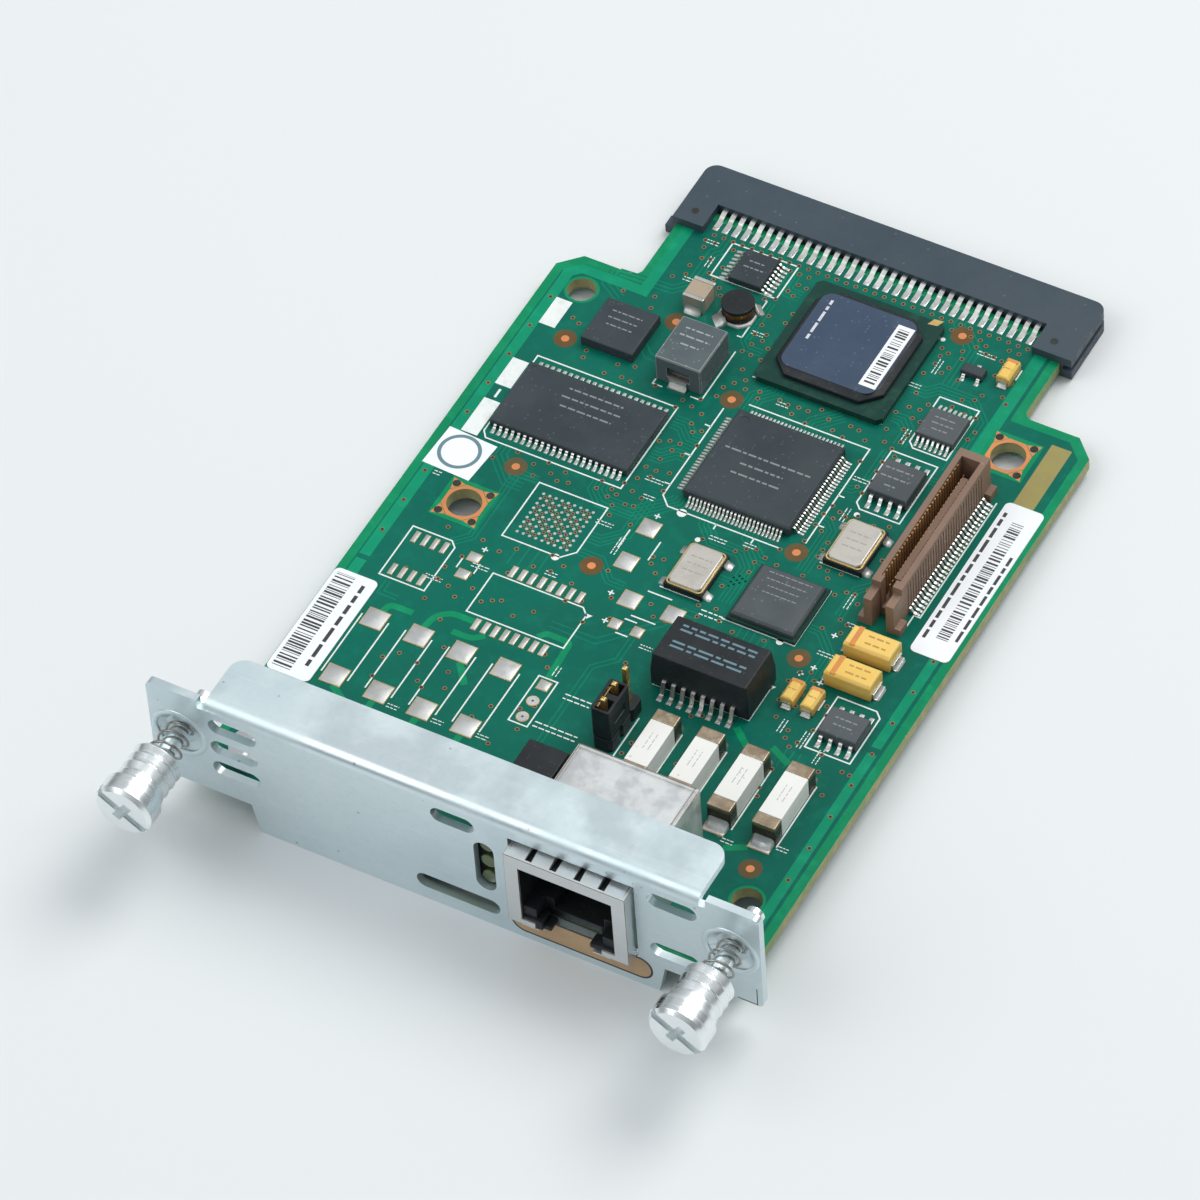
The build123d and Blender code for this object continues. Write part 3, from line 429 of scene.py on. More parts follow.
def climb_group():
    """A mask that goes from nought to one between two heights."""
    tree, start, where, end = new_group("climb", (("Low", 0.0), ("High", 0.01)))
    split = put(tree, "ShaderNodeSeparateXYZ")
    wire(tree, (where, "Object", split, "Vector"))
    return mask_between(tree, start, split, "Z", end)


PATCHES = patches_group()
GRAIN = grain_group()
SPECKS = specks_group()
STREAKS = streaks_group()
CLIMB = climb_group()


# Sockets of a colour mix: its two colours and its result
MIX_FIRST = 6
MIX_SECOND = 7
MIX_RESULT = 2


class Finish:
    """A material under construction: a Principled shader whose colour is built up in layers."""

    def __init__(self, name, colour, roughness, metallic=0.0, coat=0.0, coat_roughness=0.1, specular=0.5):
        self.material = bpy.data.materials.new(name)
        self.material.use_nodes = True
        self.tree = self.material.node_tree
        self.shader = self.tree.nodes["Principled BSDF"]
        self.colour = None
        values = {"Base Color": (*colour, 1), "Roughness": roughness, "Metallic": metallic,
                  "Coat Weight": coat, "Coat Roughness": coat_roughness, "Specular IOR Level": specular}
        for socket, value in values.items():
            self.shader.inputs[socket].default_value = value

    def use(self, group, *values):
        """A shared effect with this material's own values."""
        return put(self.tree, "ShaderNodeGroup", values, node_tree=group)

    def tint(self, mask, colour, share=1.0):
        """Mixes another colour in where a mask is high."""
        amount = put(self.tree, "ShaderNodeMath", ((1, share),), operation="MULTIPLY")
        base = self.shader.inputs["Base Color"]
        mix = put(self.tree, "ShaderNodeMix", data_type="RGBA")
        mix.inputs[MIX_FIRST].default_value = base.default_value
        mix.inputs[MIX_SECOND].default_value = (*colour, 1)
        if self.colour:
            self.tree.links.new(self.colour, mix.inputs[MIX_FIRST])
        self.colour = mix.outputs[MIX_RESULT]
        self.tree.links.new(mask, amount.inputs[0])
        self.tree.links.new(amount.outputs["Value"], mix.inputs[0])
        self.tree.links.new(self.colour, base)

    def gloss(self, mask, low, high):
        """Lets the roughness follow a mask."""
        span = put(self.tree, "ShaderNodeMapRange", (("To Min", low), ("To Max", high)))
        self.tree.links.new(mask, span.inputs["Value"])
        wire(self.tree, (span, "Result", self.shader, "Roughness"))

    def patches(self, scale, low=0.4, high=0.6):
        """A mask of soft patches."""
        return self.use(PATCHES, ("Scale", scale), ("Low", low), ("High", high)).outputs["Mask"]

    def specks(self, scale, size, share):
        """A mask of small round specks."""
        return self.use(SPECKS, ("Scale", scale), ("Size", size), ("Share", share)).outputs["Mask"]

    def streaks(self, scale, stretch, low, high, rings=False):
        """A mask of long thin streaks, or of rings round Y."""
        values = (("Scale", scale), ("Stretch Y", stretch), ("Stretch Z", 1 if rings else stretch),
                  ("Low", low), ("High", high))
        return self.use(STREAKS, *values).outputs["Mask"]

    def climb(self, low, high):
        """A mask that grows with height."""
        return self.use(CLIMB, ("Low", low * MM), ("High", high * MM)).outputs["Mask"]

    def grain(self, scale, height):
        """Adds the uneven surface and gives the finished material."""
        bump = self.use(GRAIN, ("Scale", scale), ("Height", height))
        wire(self.tree, (bump, "Normal", self.shader, "Normal"))
        return self.material


# Finishes

def mask_green(name, colour, dark, light):
    """Glossy solder mask: patchy green with a fine ripple."""
    made = Finish(name, colour, 0.34, coat=0.07, coat_roughness=0.12, specular=0.12)
    made.tint(made.patches(45), dark, 0.7)
    made.tint(made.patches(420, 0.5, 0.68), light, 0.5)
    made.tint(made.specks(1100, 0.16, 0.05), light, 0.8)
    made.gloss(made.patches(160), 0.28, 0.45)
    return made.grain(1500, 0.000012)


def moulded(name, colour, light, roughness, scale=1800, height=0.00001):
    """Moulded plastic or epoxy with a matt grain and paler dust specks."""
    made = Finish(name, colour, roughness, specular=0.3)
    made.tint(made.patches(90), light, 0.6)
    made.tint(made.specks(2200, 0.28, 0.16), tuple(c * 1.6 for c in light), 0.7)
    made.gloss(made.patches(300), roughness - 0.08, roughness + 0.1)
    return made.grain(scale, height)


def plated(name, colour, shadow, roughness, stain=0.5, metallic=0.9):
    """Plated metal with patchy gloss, faint stains and hairline streaks."""
    made = Finish(name, colour, roughness, metallic=metallic)
    made.tint(made.patches(70), shadow, stain)
    made.tint(made.streaks(260, 18, 0.58, 0.75), shadow, stain * 0.7)
    made.gloss(made.patches(400), roughness - 0.08, roughness + 0.12)
    return made.grain(2500, 0.000006)


def turned(name, colour, shadow):
    """Bright turned metal: fine rings left by the lathe and a little dirt in them."""
    made = Finish(name, colour, 0.24, metallic=1.0)
    made.tint(made.streaks(60, 40, 0.55, 0.75, rings=True), shadow, 0.25)
    made.tint(made.patches(260, 0.55, 0.75), shadow, 0.25)
    made.gloss(made.streaks(40, 40, 0.4, 0.6, rings=True), 0.2, 0.32)
    return made.grain(3000, 0.000003)


def bracket_zinc():
    """Bluish zinc plate: soft blotches, pale scuffs and small dark specks."""
    made = Finish("bracket_zinc", (0.69, 0.79, 0.815), 0.36, metallic=0.82)
    made.tint(made.patches(38, 0.42, 0.66), (0.58, 0.7, 0.735), 0.8)
    made.tint(made.patches(240, 0.55, 0.72), (0.74, 0.83, 0.85), 0.5)
    made.tint(made.patches(1500, 0.5, 0.7), (0.6, 0.69, 0.71), 0.35)
    made.tint(made.streaks(120, 22, 0.6, 0.72), (0.78, 0.85, 0.87), 0.25)
    made.tint(made.specks(260, 0.1, 0.05), (0.16, 0.17, 0.17), 0.8)
    made.tint(made.specks(900, 0.16, 0.04), (0.32, 0.35, 0.36), 0.6)
    made.gloss(made.patches(120), 0.3, 0.46)
    return made.grain(1800, 0.000007)


def fuse_end():
    """A fuse's end cap: tarnished brown on top, and nearly black and glossy below, where painted shade
    darkens it towards the board.
    """
    made = Finish("fuse_cap_metal", (0.44, 0.35, 0.25), 0.34, metallic=0.7)
    made.tint(made.patches(260), (0.25, 0.18, 0.11), 0.7)
    made.tint(made.patches(700, 0.55, 0.7), (0.62, 0.55, 0.45), 0.6)
    # Painted shade: the cap darkens to nearly black near the board.
    made.tint(made.climb(TOP + 2.75, TOP + 2.2), (0.045, 0.038, 0.032), 0.9)
    made.gloss(made.patches(500), 0.22, 0.42)
    return made.grain(2600, 0.000006)


def paper_white():
    """Sticker paper, faintly soiled."""
    made = Finish("label_paper", (0.86, 0.88, 0.9), 0.5)
    made.tint(made.patches(120), (0.78, 0.81, 0.83), 0.5)
    made.tint(made.specks(900, 0.2, 0.05), (0.6, 0.62, 0.62), 0.5)
    return made.grain(3000, 0.000006)


def flat_ink(name, colour, roughness=0.5):
    """Print: an even colour that is a little worn."""
    made = Finish(name, colour, roughness)
    worn = tuple(c * 0.8 + 0.03 for c in colour)
    made.tint(made.patches(900, 0.45, 0.7), worn, 0.8)
    return made.grain(2600, 0.000004)


def fibre_edge():
    """The cut edge of the laminate, with its layers."""
    made = Finish("fibre_edge", (0.3, 0.3, 0.13), 0.6)
    made.tint(made.patches(900, 0.4, 0.6), (0.42, 0.38, 0.2), 0.7)
    made.tint(made.patches(60, 0.5, 0.6), (0.13, 0.28, 0.1), 0.6)
    return made.grain(3000, 0.00002)


def shell_plastic(name, colour, light, dust):
    """Moulded plastic with dust on it."""
    made = Finish(name, colour, 0.5, specular=0.45)
    made.tint(made.patches(60), light, 0.5)
    made.tint(made.specks(1300, 0.2, 0.1), dust, 0.6)
    made.gloss(made.patches(500), 0.42, 0.62)
    return made.grain(2400, 0.00001)


def capacitor_resin():
    """Yellow resin with painted shade that darkens it towards the board, and brown dust."""
    made = Finish("tantalum_yellow", (0.78, 0.5, 0.11), 0.42, specular=0.35)
    made.tint(made.patches(160), (0.84, 0.58, 0.17), 0.7)
    # Painted shade on the lower sides.
    made.tint(made.climb(TOP + 1.3, TOP + 0.2), (0.5, 0.25, 0.04), 0.7)
    made.tint(made.specks(1500, 0.2, 0.1), (0.55, 0.3, 0.06), 0.6)
    return made.grain(2200, 0.000008)


BOARD_BRIGHT = mask_green("mask_bright", (0.003, 0.24, 0.105), (0.003, 0.2, 0.085), (0.008, 0.32, 0.14))
BOARD_PLANE = mask_green("mask_plane", (0.0015, 0.132, 0.09), (0.001, 0.102, 0.073), (0.003, 0.168, 0.11))
BOARD_TRACE = mask_green("mask_trace", (0.002, 0.185, 0.112), (0.002, 0.15, 0.093), (0.005, 0.23, 0.135))
BOARD_STRIP = mask_green("mask_strip", (0.003, 0.27, 0.14), (0.003, 0.22, 0.115), (0.008, 0.34, 0.175))
FIBRE = fibre_edge()
BARE = flat_ink("bare_laminate", (0.3, 0.25, 0.07))
WHITE_INK = flat_ink("white_print", (0.78, 0.82, 0.8))
DARK_INK = flat_ink("dark_print", (0.03, 0.032, 0.035))
GREY_INK = flat_ink("grey_print", (0.21, 0.225, 0.235))
BLUE_INK = flat_ink("slate_print", (0.12, 0.22, 0.27))
PALE_INK = flat_ink("pale_print", (0.6, 0.62, 0.68))
# Painted shade: near-black discs stand in for the inside of holes.
HOLE_SHADE = flat_ink("hole_shade", (0.02, 0.022, 0.018), 0.8)
VIA_RING = plated("via_ring", (0.34, 0.21, 0.09), (0.17, 0.11, 0.05), 0.45, metallic=0.3)
BARE_COPPER = plated("bare_copper", (0.75, 0.27, 0.09), (0.5, 0.2, 0.08), 0.45, metallic=0.35)
BROWN_MASK = mask_green("mask_over_copper", (0.13, 0.075, 0.03), (0.1, 0.09, 0.045), (0.2, 0.09, 0.03))
PAD_TIN = plated("pad_tin", (0.6, 0.61, 0.6), (0.46, 0.45, 0.4), 0.38, metallic=0.75)
PAD_GOLD = plated("pad_gold", (0.74, 0.45, 0.17), (0.5, 0.3, 0.12), 0.4, metallic=0.6)
SOLDER = plated("solder", (0.6, 0.61, 0.6), (0.42, 0.41, 0.37), 0.38, metallic=0.8)
LEAD_TIN = plated("lead_tin", (0.74, 0.75, 0.73), (0.52, 0.5, 0.44), 0.3, metallic=0.9)
CONTACT_GOLD = plated("contact_gold", (0.83, 0.6, 0.24), (0.6, 0.38, 0.13), 0.3, metallic=0.9)
CONTACT_BROWN = plated("contact_brown", (0.66, 0.42, 0.2), (0.42, 0.25, 0.12), 0.35, metallic=0.8)
BRACKET = bracket_zinc()
KNOB = turned("knob_nickel", (0.88, 0.92, 0.925), (0.55, 0.6, 0.61))
SPRING = plated("spring_wire", (0.42, 0.4, 0.37), (0.2, 0.18, 0.16), 0.25, metallic=0.95)
SCREW = plated("screw_zinc", (0.7, 0.72, 0.73), (0.45, 0.47, 0.48), 0.32)
SHIELD = plated("shield_tin", (0.68, 0.7, 0.71), (0.55, 0.55, 0.53), 0.36, stain=0.35, metallic=0.8)
CAP_METAL = fuse_end()
LID = plated("oscillator_lid", (0.54, 0.515, 0.47), (0.46, 0.43, 0.385), 0.42, metallic=0.45)
LID_GOLD = plated("oscillator_rim", (0.8, 0.6, 0.25), (0.6, 0.42, 0.16), 0.3)
EPOXY = moulded("chip_epoxy", (0.028, 0.04, 0.047), (0.048, 0.062, 0.07), 0.46)
EPOXY_GREY = moulded("chip_epoxy_grey", (0.062, 0.074, 0.08), (0.095, 0.108, 0.115), 0.5)
BLACK = moulded("black_plastic", (0.009, 0.012, 0.014), (0.024, 0.028, 0.032), 0.42)
FERRITE = moulded("ferrite", (0.06, 0.078, 0.085), (0.11, 0.14, 0.15), 0.55, 900, 0.00003)
EDGE_PLASTIC = shell_plastic("edge_plastic", (0.03, 0.05, 0.068), (0.05, 0.072, 0.092), (0.1, 0.125, 0.15))
SLOT_PLASTIC = shell_plastic("slot_plastic", (0.21, 0.13, 0.09), (0.28, 0.18, 0.125), (0.34, 0.24, 0.18))
WHITE_PLASTIC = shell_plastic("white_base", (0.7, 0.7, 0.66), (0.6, 0.6, 0.55), (0.4, 0.4, 0.36))
CERAMIC_WHITE = shell_plastic("ceramic_white", (0.82, 0.82, 0.79), (0.74, 0.73, 0.69), (0.5, 0.48, 0.44))
CERAMIC_TAN = shell_plastic("ceramic_tan", (0.36, 0.28, 0.2), (0.42, 0.34, 0.25), (0.25, 0.18, 0.12))
CARRIER = mask_green("chip_carrier", (0.012, 0.05, 0.04), (0.01, 0.04, 0.03), (0.03, 0.09, 0.06))
WINDING = plated("winding", (0.6, 0.22, 0.07), (0.25, 0.08, 0.03), 0.3, metallic=0.7)
TANTALUM = capacitor_resin()
ORANGE_BAND = flat_ink("tantalum_band", (0.66, 0.25, 0.055), 0.42)
RESIN_PRINT = flat_ink("resin_print", (0.5, 0.27, 0.05), 0.42)
LID_PRINT = flat_ink("lid_print", (0.36, 0.34, 0.31), 0.45)
INDUCTOR_PRINT = flat_ink("inductor_print", (0.3, 0.34, 0.35), 0.5)
FUSE_PRINT = flat_ink("fuse_print", (0.5, 0.49, 0.47), 0.5)
PAPER = paper_white()
TIN_EDGE = plated("tin_edge", (0.27, 0.23, 0.18), (0.14, 0.11, 0.08), 0.4, metallic=0.6)
# A paler, glossier zinc for the bracket's rounded edges: a painted highlight along the edges and the bend.
ZINC_EDGE_HIGHLIGHT = plated("zinc_edge_highlight", (0.78, 0.84, 0.86), (0.62, 0.7, 0.72), 0.26, stain=0.3, metallic=0.95)
CHIPPED = moulded("ferrite_edge", (0.2, 0.22, 0.225), (0.3, 0.32, 0.32), 0.5, 900, 0.00003)
COPPER_BAR = plated("copper_bar", (0.7, 0.36, 0.2), (0.4, 0.18, 0.09), 0.3)
LENS = Finish("lens", (0.06, 0.09, 0.02), 0.12, coat=0.6).material
TAN_BAND = flat_ink("tan_band", (0.5, 0.33, 0.18))
CHIP_LABEL = moulded("chip_label", (0.042, 0.066, 0.112), (0.058, 0.086, 0.135), 0.32, 2600, 0.000004)


# The board and what is printed, etched and drilled on it

def board_plan(inset):
    """The board's outline, drawn in from its edge."""
    half, neck = HALF - inset, NECK - inset
    front, back, shoulder = BOARD_FRONT + inset, BOARD_BACK - inset, SHOULDER - inset
    cut = CHAMFER - inset * 0.4
    return [(-half, front), (half, front), (half, shoulder - cut), (half - cut, shoulder), (neck, shoulder),
            (neck, back), (-neck, back), (-neck, shoulder), (cut - half, shoulder), (-half, shoulder - cut)]


def board_body():
    """The laminate, bright under its mask, with bare fibre at its cut edges."""
    bm = copied("printed_board")
    for face in bm.faces:
        if abs(face.normal.z) < 0.5:
            face.material_index = 1
    piece(bm, "board_laminate", BOARD_BRIGHT, FIBRE, replaces=("printed_board",), closed=False)


def board_planes():
    """Dark copper plane under the mask on both sides, and the brighter ground strips."""
    bm = bmesh.new()
    wider = [(x, y, r + 0.35) for x, y, r in HOLES]
    plate(bm, board_plan(1.15), TOP, TOP + PLANE, wider)
    plate(bm, board_plan(1.15), BOARD_LOW - PLANE, BOARD_LOW, wider)
    piece(bm, "board_plane", BOARD_PLANE)
    bm = bmesh.new()
    left = ((-33.47, -9.9), (-33.47, 39.4), (-32.2, 40.65), (-23.9, 40.65), (-23.9, 53.6))
    ribbon(bm, left, 1.4, TOP, TOP + POUR)
    ribbon(bm, ((-33.47, -10.6), (-33.47, -13.5)), 1.4, TOP, TOP + POUR)
    ribbon(bm, ((23.2, 53.6), (23.2, 34.0)), 1.6, TOP, TOP + POUR)
    ribbon(bm, ((33.3, 5.0), (33.3, -9.5)), 1.2, TOP, TOP + POUR)
    ribbon(bm, ((33.3, -10.5), (33.3, -43.0)), 1.2, TOP, TOP + POUR)
    piece(bm, "ground_strips", BOARD_STRIP)


# Round a ringed hole, from its middle: the green square, the copper ring, its corners and the vias, drawn as
# dark discs of painted shade
SQUARE_REACH = 3.15
RING_REACH = 2.75
CORNER_REACH = 2.95
CORNER_START = 1.2
DOT_REACH = 2.25
RING_LIFT = 0.006


def ringed_holes():
    """Green square, copper ring with pointed corners and four vias round each ringed hole, drawn as dark
    discs of painted shade.
    """
    green, copper, dots = bmesh.new(), bmesh.new(), bmesh.new()
    reach, arm, near = SQUARE_REACH, CORNER_REACH, CORNER_REACH * 0.85
    for x, y, radius in RINGED:
        square = [(x + sx * reach, y + sy * reach) for sx, sy in ((-1, -1), (1, -1), (1, 1), (-1, 1))]
        plate(green, square, TOP, TOP + POUR + RING_LIFT, ((x, y, radius + 0.02),))
        star = []
        for i in range(8):
            angle = math.radians(45 * i + 22.5)
            star.append((x + RING_REACH * math.cos(angle), y + RING_REACH * math.sin(angle)))
        plate(copper, star, TOP + POUR, TOP + COPPER + RING_LIFT, ((x, y, radius + 0.02),))
        for sx in (-1, 1):
            for sy in (-1, 1):
                tip = [(x + sx * arm, y + sy * arm), (x + sx * CORNER_START, y + sy * near),
                       (x + sx * near, y + sy * CORNER_START)]
                plate(copper, tip, TOP + POUR, TOP + COPPER)
                disc(dots, x + sx * DOT_REACH, y + sy * DOT_REACH, TOP + POUR, TOP + PAD, 0.5)
    piece(green, "hole_squares", BOARD_BRIGHT)
    piece(copper, "hole_rings", BARE_COPPER)
    piece(dots, "hole_dots", HOLE_SHADE)


# Radii of a copper spot: its round of brownish mask and its bare dot
SPOT_ROUND = 1.4
SPOT_DOT = 0.5


def copper_spots():
    """Bare copper dots, each in a wide brownish round of mask."""
    rounds, dots = bmesh.new(), bmesh.new()
    for x, y in SPOTS:
        disc(rounds, x, y, TOP, TOP + POUR, SPOT_ROUND, 32)
        disc(dots, x, y, TOP + POUR, TOP + COPPER, SPOT_DOT, 24)
    piece(rounds, "spot_rounds", BROWN_MASK)
    piece(dots, "spot_dots", BARE_COPPER)


# Rectangles on the board that are covered, so no via goes there: x0, x1, y0, y1
COVERED_NODES = ("processor_body", "memory_body", "framer_base", "line_chip_base", "regulator_chip",
                 "power_inductor", "drum_inductor_base", "ceramic_capacitor", "mezzanine_housing",
                 "transformer_body", "jack_shield", "lamp_block", "header_base", "left_label", "right_label",
                 "large_tantalum_capacitors", "oscillator_base_1", "oscillator_base_2", "buffer_chip",
                 "logic_chip", "flash_chip", "monitor_chip", "transistor_body")

# The pale field and the bare ball grid, which stay clear too: x0, x1, y0, y1
CLEAR_FIELDS = ((-34.8, -27.4, 5.0, 12.0), (-20.6, -11.3, -0.4, 8.8))

# Where vias lie thickly: x0, x1, y0, y1, how many are tried
VIA_ZONES = ((-22, 24, 43, 51, 100), (-10, 15, 30.4, 34, 50), (-12, -6.5, 12, 30, 50), (11.5, 15, 8, 32, 50),
             (12, 21, 8, 21, 34), (-30, 24, -11, 12, 130), (-30, -11, 9, 12.5, 22), (5, 12, -14, 12, 26),
             (-31, -19, 26.5, 42, 22), (-9, -6, 34, 52, 34), (11.5, 22, 34, 52, 70), (-20, -6, 26.5, 30, 12),
             (19, 24, -14, 0, 22), (-30, 30, -29, -12, 48), (24, 33, -30, 0, 30))


def via_places():
    """Through contacts: neat rows where there are rows, and a seeded scatter elsewhere."""
    rng = random.Random(SEED)
    covered = [sides_of(node, 0.5) for node in COVERED_NODES]
    covered += [(x - r - 1.4, x + r + 1.4, y - r - 1.4, y + r + 1.4) for x, y, r in HOLES]
    covered += [(x - 1.7, x + 1.7, y - 1.7, y + 1.7) for x, y in SPOTS]
    covered += CLEAR_FIELDS
    places = [(-33.5, 35 - 5.08 * i) for i in range(9) if i != 5]
    places += [(33.3, 4.7 - 5.08 * i) for i in range(8)]
    places += [(-20.96 + 1.27 * i + 0.35, 52.25) for i in range(34)]
    behind = [-21.2 + 1.27 * i for i in range(34) if not 11 < i < 26]
    places += [(x, 51.1) for x in behind if rng.random() < 0.6]
    for x0, x1, y0, y1, count in VIA_ZONES:
        for _ in range(count):
            x, y = rng.uniform(x0, x1), rng.uniform(y0, y1)
            if any(a < x < b and c < y < d for a, b, c, d in covered):
                continue
            if any(math.hypot(x - a, y - b) < 1.0 for a, b in places):
                continue
            places.append((x, y))
    return places


# Radii of a through contact: its ring inside and outside, and the dark disc of painted shade in its hole
VIA_INNER = 0.19
VIA_OUTER = 0.29
VIA_HOLE = 0.2


def through_contacts(name, level, side):
    """A thin ring round a dark disc of painted shade in the hole at each through contact, on one side of the
    board.
    """
    rings, holes, one_ring, one_hole = (bmesh.new() for _ in range(4))
    ring(one_ring, 0, 0, *sorted((0, side * PAD)), VIA_INNER, VIA_OUTER, 12)
    disc(one_hole, 0, 0, *sorted((0, side * (PAD - 0.01))), VIA_HOLE, 12)
    ring_shape, hole_shape = shape_from(one_ring), shape_from(one_hole)
    for x, y in via_places():
        stamp(rings, ring_shape, x, y, level)
        stamp(holes, hole_shape, x, y, level)
    piece(rings, name + "_rings", VIA_RING)
    piece(holes, name + "_holes", HOLE_SHADE)


# Etched tracks under the mask: guide points, how many run side by side, and their pitch
TRACKS = (
    (((-11.0, 24.0), (-9.5, 24.0), (-8.0, 22.5), (-6.8, 22.5)), 5, 0.5),
    (((-11.0, 18.5), (-9.8, 18.5), (-8.3, 20.0), (-6.8, 20.0)), 5, 0.5),
    (((-27.0, 12.2), (-27.0, 10.5), (-24.0, 7.5), (-22.0, 7.5)), 4, 0.6),
    (((-14.0, 12.2), (-14.0, 10.8), (-12.5, 9.4), (-8.5, 9.4), (-4.5, 13.2), (-4.5, 13.9)), 5, 0.5),
    (((0.0, 14.0), (0.0, 11.6), (2.0, 9.6), (5.8, 9.6), (7.5, 7.9), (7.5, 2.0)), 4, 0.5),
    (((5.5, 14.0), (5.5, 11.9), (8.0, 9.6), (9.0, 9.6)), 4, 0.5),
    (((10.9, 18.0), (12.4, 18.0), (13.4, 17.0), (13.4, 10.2)), 4, 0.5),
    (((10.9, 24.0), (12.6, 24.0), (14.0, 25.4), (14.0, 30.8)), 4, 0.5),
    (((-4.0, 29.2), (-4.0, 31.6), (-2.4, 33.2), (-2.4, 34.0)), 5, 0.5),
    (((4.0, 29.2), (4.0, 31.0), (6.6, 33.6)), 5, 0.5),
    (((11.8, 36.0), (13.2, 36.0), (14.6, 34.6), (14.6, 32.2)), 4, 0.5),
    (((11.8, 41.0), (13.6, 41.0), (14.8, 42.2), (19.0, 42.2), (21.6, 39.6), (21.6, 31.0)), 4, 0.5),
    (((-6.6, 38.0), (-8.4, 38.0), (-9.4, 39.0), (-9.4, 45.6)), 3, 0.5),
    (((-6.6, 48.0), (-8.4, 48.0), (-9.0, 48.6), (-9.0, 51.4)), 4, 0.5),
    (((-18.6, 53.2), (-18.6, 50.5), (-19.4, 49.7), (-19.4, 44.0), (-21.0, 42.4), (-28.0, 42.0)), 3, 0.6),
    (((-15.0, 53.2), (-15.0, 52.4)), 6, 0.8),
    (((12.5, 53.2), (12.5, 52.4), (15.6, 49.3), (15.6, 43.0)), 4, 0.6),
    (((20.2, 29.0), (21.8, 29.0), (22.0, 28.8), (22.0, 12.0), (20.4, 10.4), (20.4, 6.0)), 3, 0.5),
    (((-20.8, 9.0), (-23.0, 9.0), (-23.6, 8.4), (-23.6, -2.0), (-26.0, -4.4)), 3, 0.5),
    (((-11.4, 4.0), (-9.8, 4.0), (-7.6, 6.2), (-7.6, 12.0)), 4, 0.5),
    (((-11.4, 1.5), (-8.4, 1.5), (-6.0, -0.9), (-4.0, -0.9)), 3, 0.5),
    (((-16.0, -0.4), (-16.0, -3.8)), 4, 1.27),
    (((4.8, 5.0), (6.6, 5.0), (8.0, 6.4)), 3, 0.5),
    (((5.8, -1.2), (4.0, -1.2), (2.6, -4.0), (-3.0, -9.6), (-9.0, -9.6)), 2, 0.8),
    (((13.0, -0.4), (13.0, -2.6)), 5, 0.9),
    (((18.0, 3.0), (19.6, 3.0), (22.0, 0.6), (22.0, -4.4)), 3, 0.5),
    (((25.4, -3.4), (25.4, -1.8), (24.0, -0.4)), 2, 0.6),
    (((-29.0, -12.2), (-29.0, -14.0), (-26.8, -14.0)), 2, 0.6),
    (((0.6, -7.4), (0.6, -11.0), (-1.6, -13.2), (-1.6, -26.0)), 2, 0.6),
    (((25.2, -14.0), (25.2, -16.8)), 3, 0.9),
    (((-22.9, 33.0), (-19.8, 33.0), (-18.6, 31.8), (-16.4, 31.8)), 2, 0.9),
    (((-28.5, 42.0), (-28.5, 40.0), (-26.0, 38.4)), 3, 0.6),
)

# Wide tracks to the large pads
WIDE_TRACKS = (
    ((-27.3, -16.5), (-27.0, -15.2), (-24.0, -15.2)),
    ((-21.8, -16.5), (-21.5, -14.5), (-20.0, -13.2), (-17, -13.2)),
    ((-18.6, -15.6), (-16.0, -15.6), (-14.8, -14.5)), ((-15.5, -19.3), (-13.4, -22.0)),
    ((-9.3, -12.0), (-8.7, -11.1), (-5.5, -11.1), (-5.2, -17.0)), ((-27.0, -28.7), (-25.0, -30.0)),
    ((-16.0, -28.8), (-16.0, -30.0)), ((17.6, -13.8), (20.0, -15.8)), ((22.7, -14.6), (25.5, -16.0)),
    ((24.5, -30.0), (27.0, -28.7)), ((-10.2, -28.8), (-10.2, -31.0)), ((-21.7, -28.8), (-21.7, -31.0)),
)


# Bundles that cross differ in height by a hair, so that their faces don't share a plane
TRACK_WIDTH = 0.2
TRACK_STEP = 0.0006


def shifted(points, offset):
    """A line moved sideways by an offset, with its corners kept."""
    spots = [Vector(p) for p in points]
    moved = []
    for i, spot in enumerate(spots):
        into = spot - spots[i - 1] if i else spots[1] - spot
        out = spots[i + 1] - spot if i < len(spots) - 1 else into
        into, out = into.normalized(), out.normalized()
        along = (into + out).normalized()
        moved.append(spot + Vector((-along.y, along.x)) * (offset / max(0.4, along.dot(out))))
    return moved


def tracks():
    """Bundles of thin tracks and the few wide ones."""
    bm = bmesh.new()
    for number, (points, count, pitch) in enumerate(TRACKS):
        for i in range(count):
            line = shifted(points, (i - (count - 1) / 2) * pitch)
            ribbon(bm, line, TRACK_WIDTH, TOP, TOP + TRACE + TRACK_STEP * (number % 9))
    piece(bm, "tracks", BOARD_TRACE)
    bm = bmesh.new()
    ribbons(bm, [rounded(line, 0.8) for line in WIDE_TRACKS], 0.85, TOP, TOP + TRACE + 0.006)
    piece(bm, "wide_tracks", BOARD_BRIGHT)


# Bare soldering pads: middle x, middle y, width, length
FUSE_PADS_X = (-27.5, -21.7, -16.0, -10.25)
BARE_PADS = ([(x, y, 2.8, 2.8) for x in FUSE_PADS_X for y in (-17.9, -27.3)]
             + [(-21.7, -4.7, 1.6, 1.4), (-21.7, -7.5, 1.6, 1.4), (-5.6, 8.15, 2.4, 2.45),
                (-5.5, 2.5, 2.4, 2.45), (-2.4, -2.4, 2.4, 2.4), (3.2, -2.3, 2.4, 2.4),
                (-2.2, -6.35, 1.4, 1.5), (0.7, -6.35, 1.4, 1.5), (22.4, -27.9, 2.8, 1.5),
                (28.2, -27.9, 2.8, 1.5)]
             + [(x, y, 0.65, 1.75) for x in (-29.4, -28.1, -26.85, -25.55) for y in (-4.95, -10.4)]
             + [(-16.6 + 1.27 * i, y, 0.7, 1.75) for i in range(8) for y in (-4.65, -13.5)]
             + [(-5.1, -18.1, 1.5, 1.5)])
ROUND_PADS = ((-5.15, -20.65), (-5.1, -23.2))


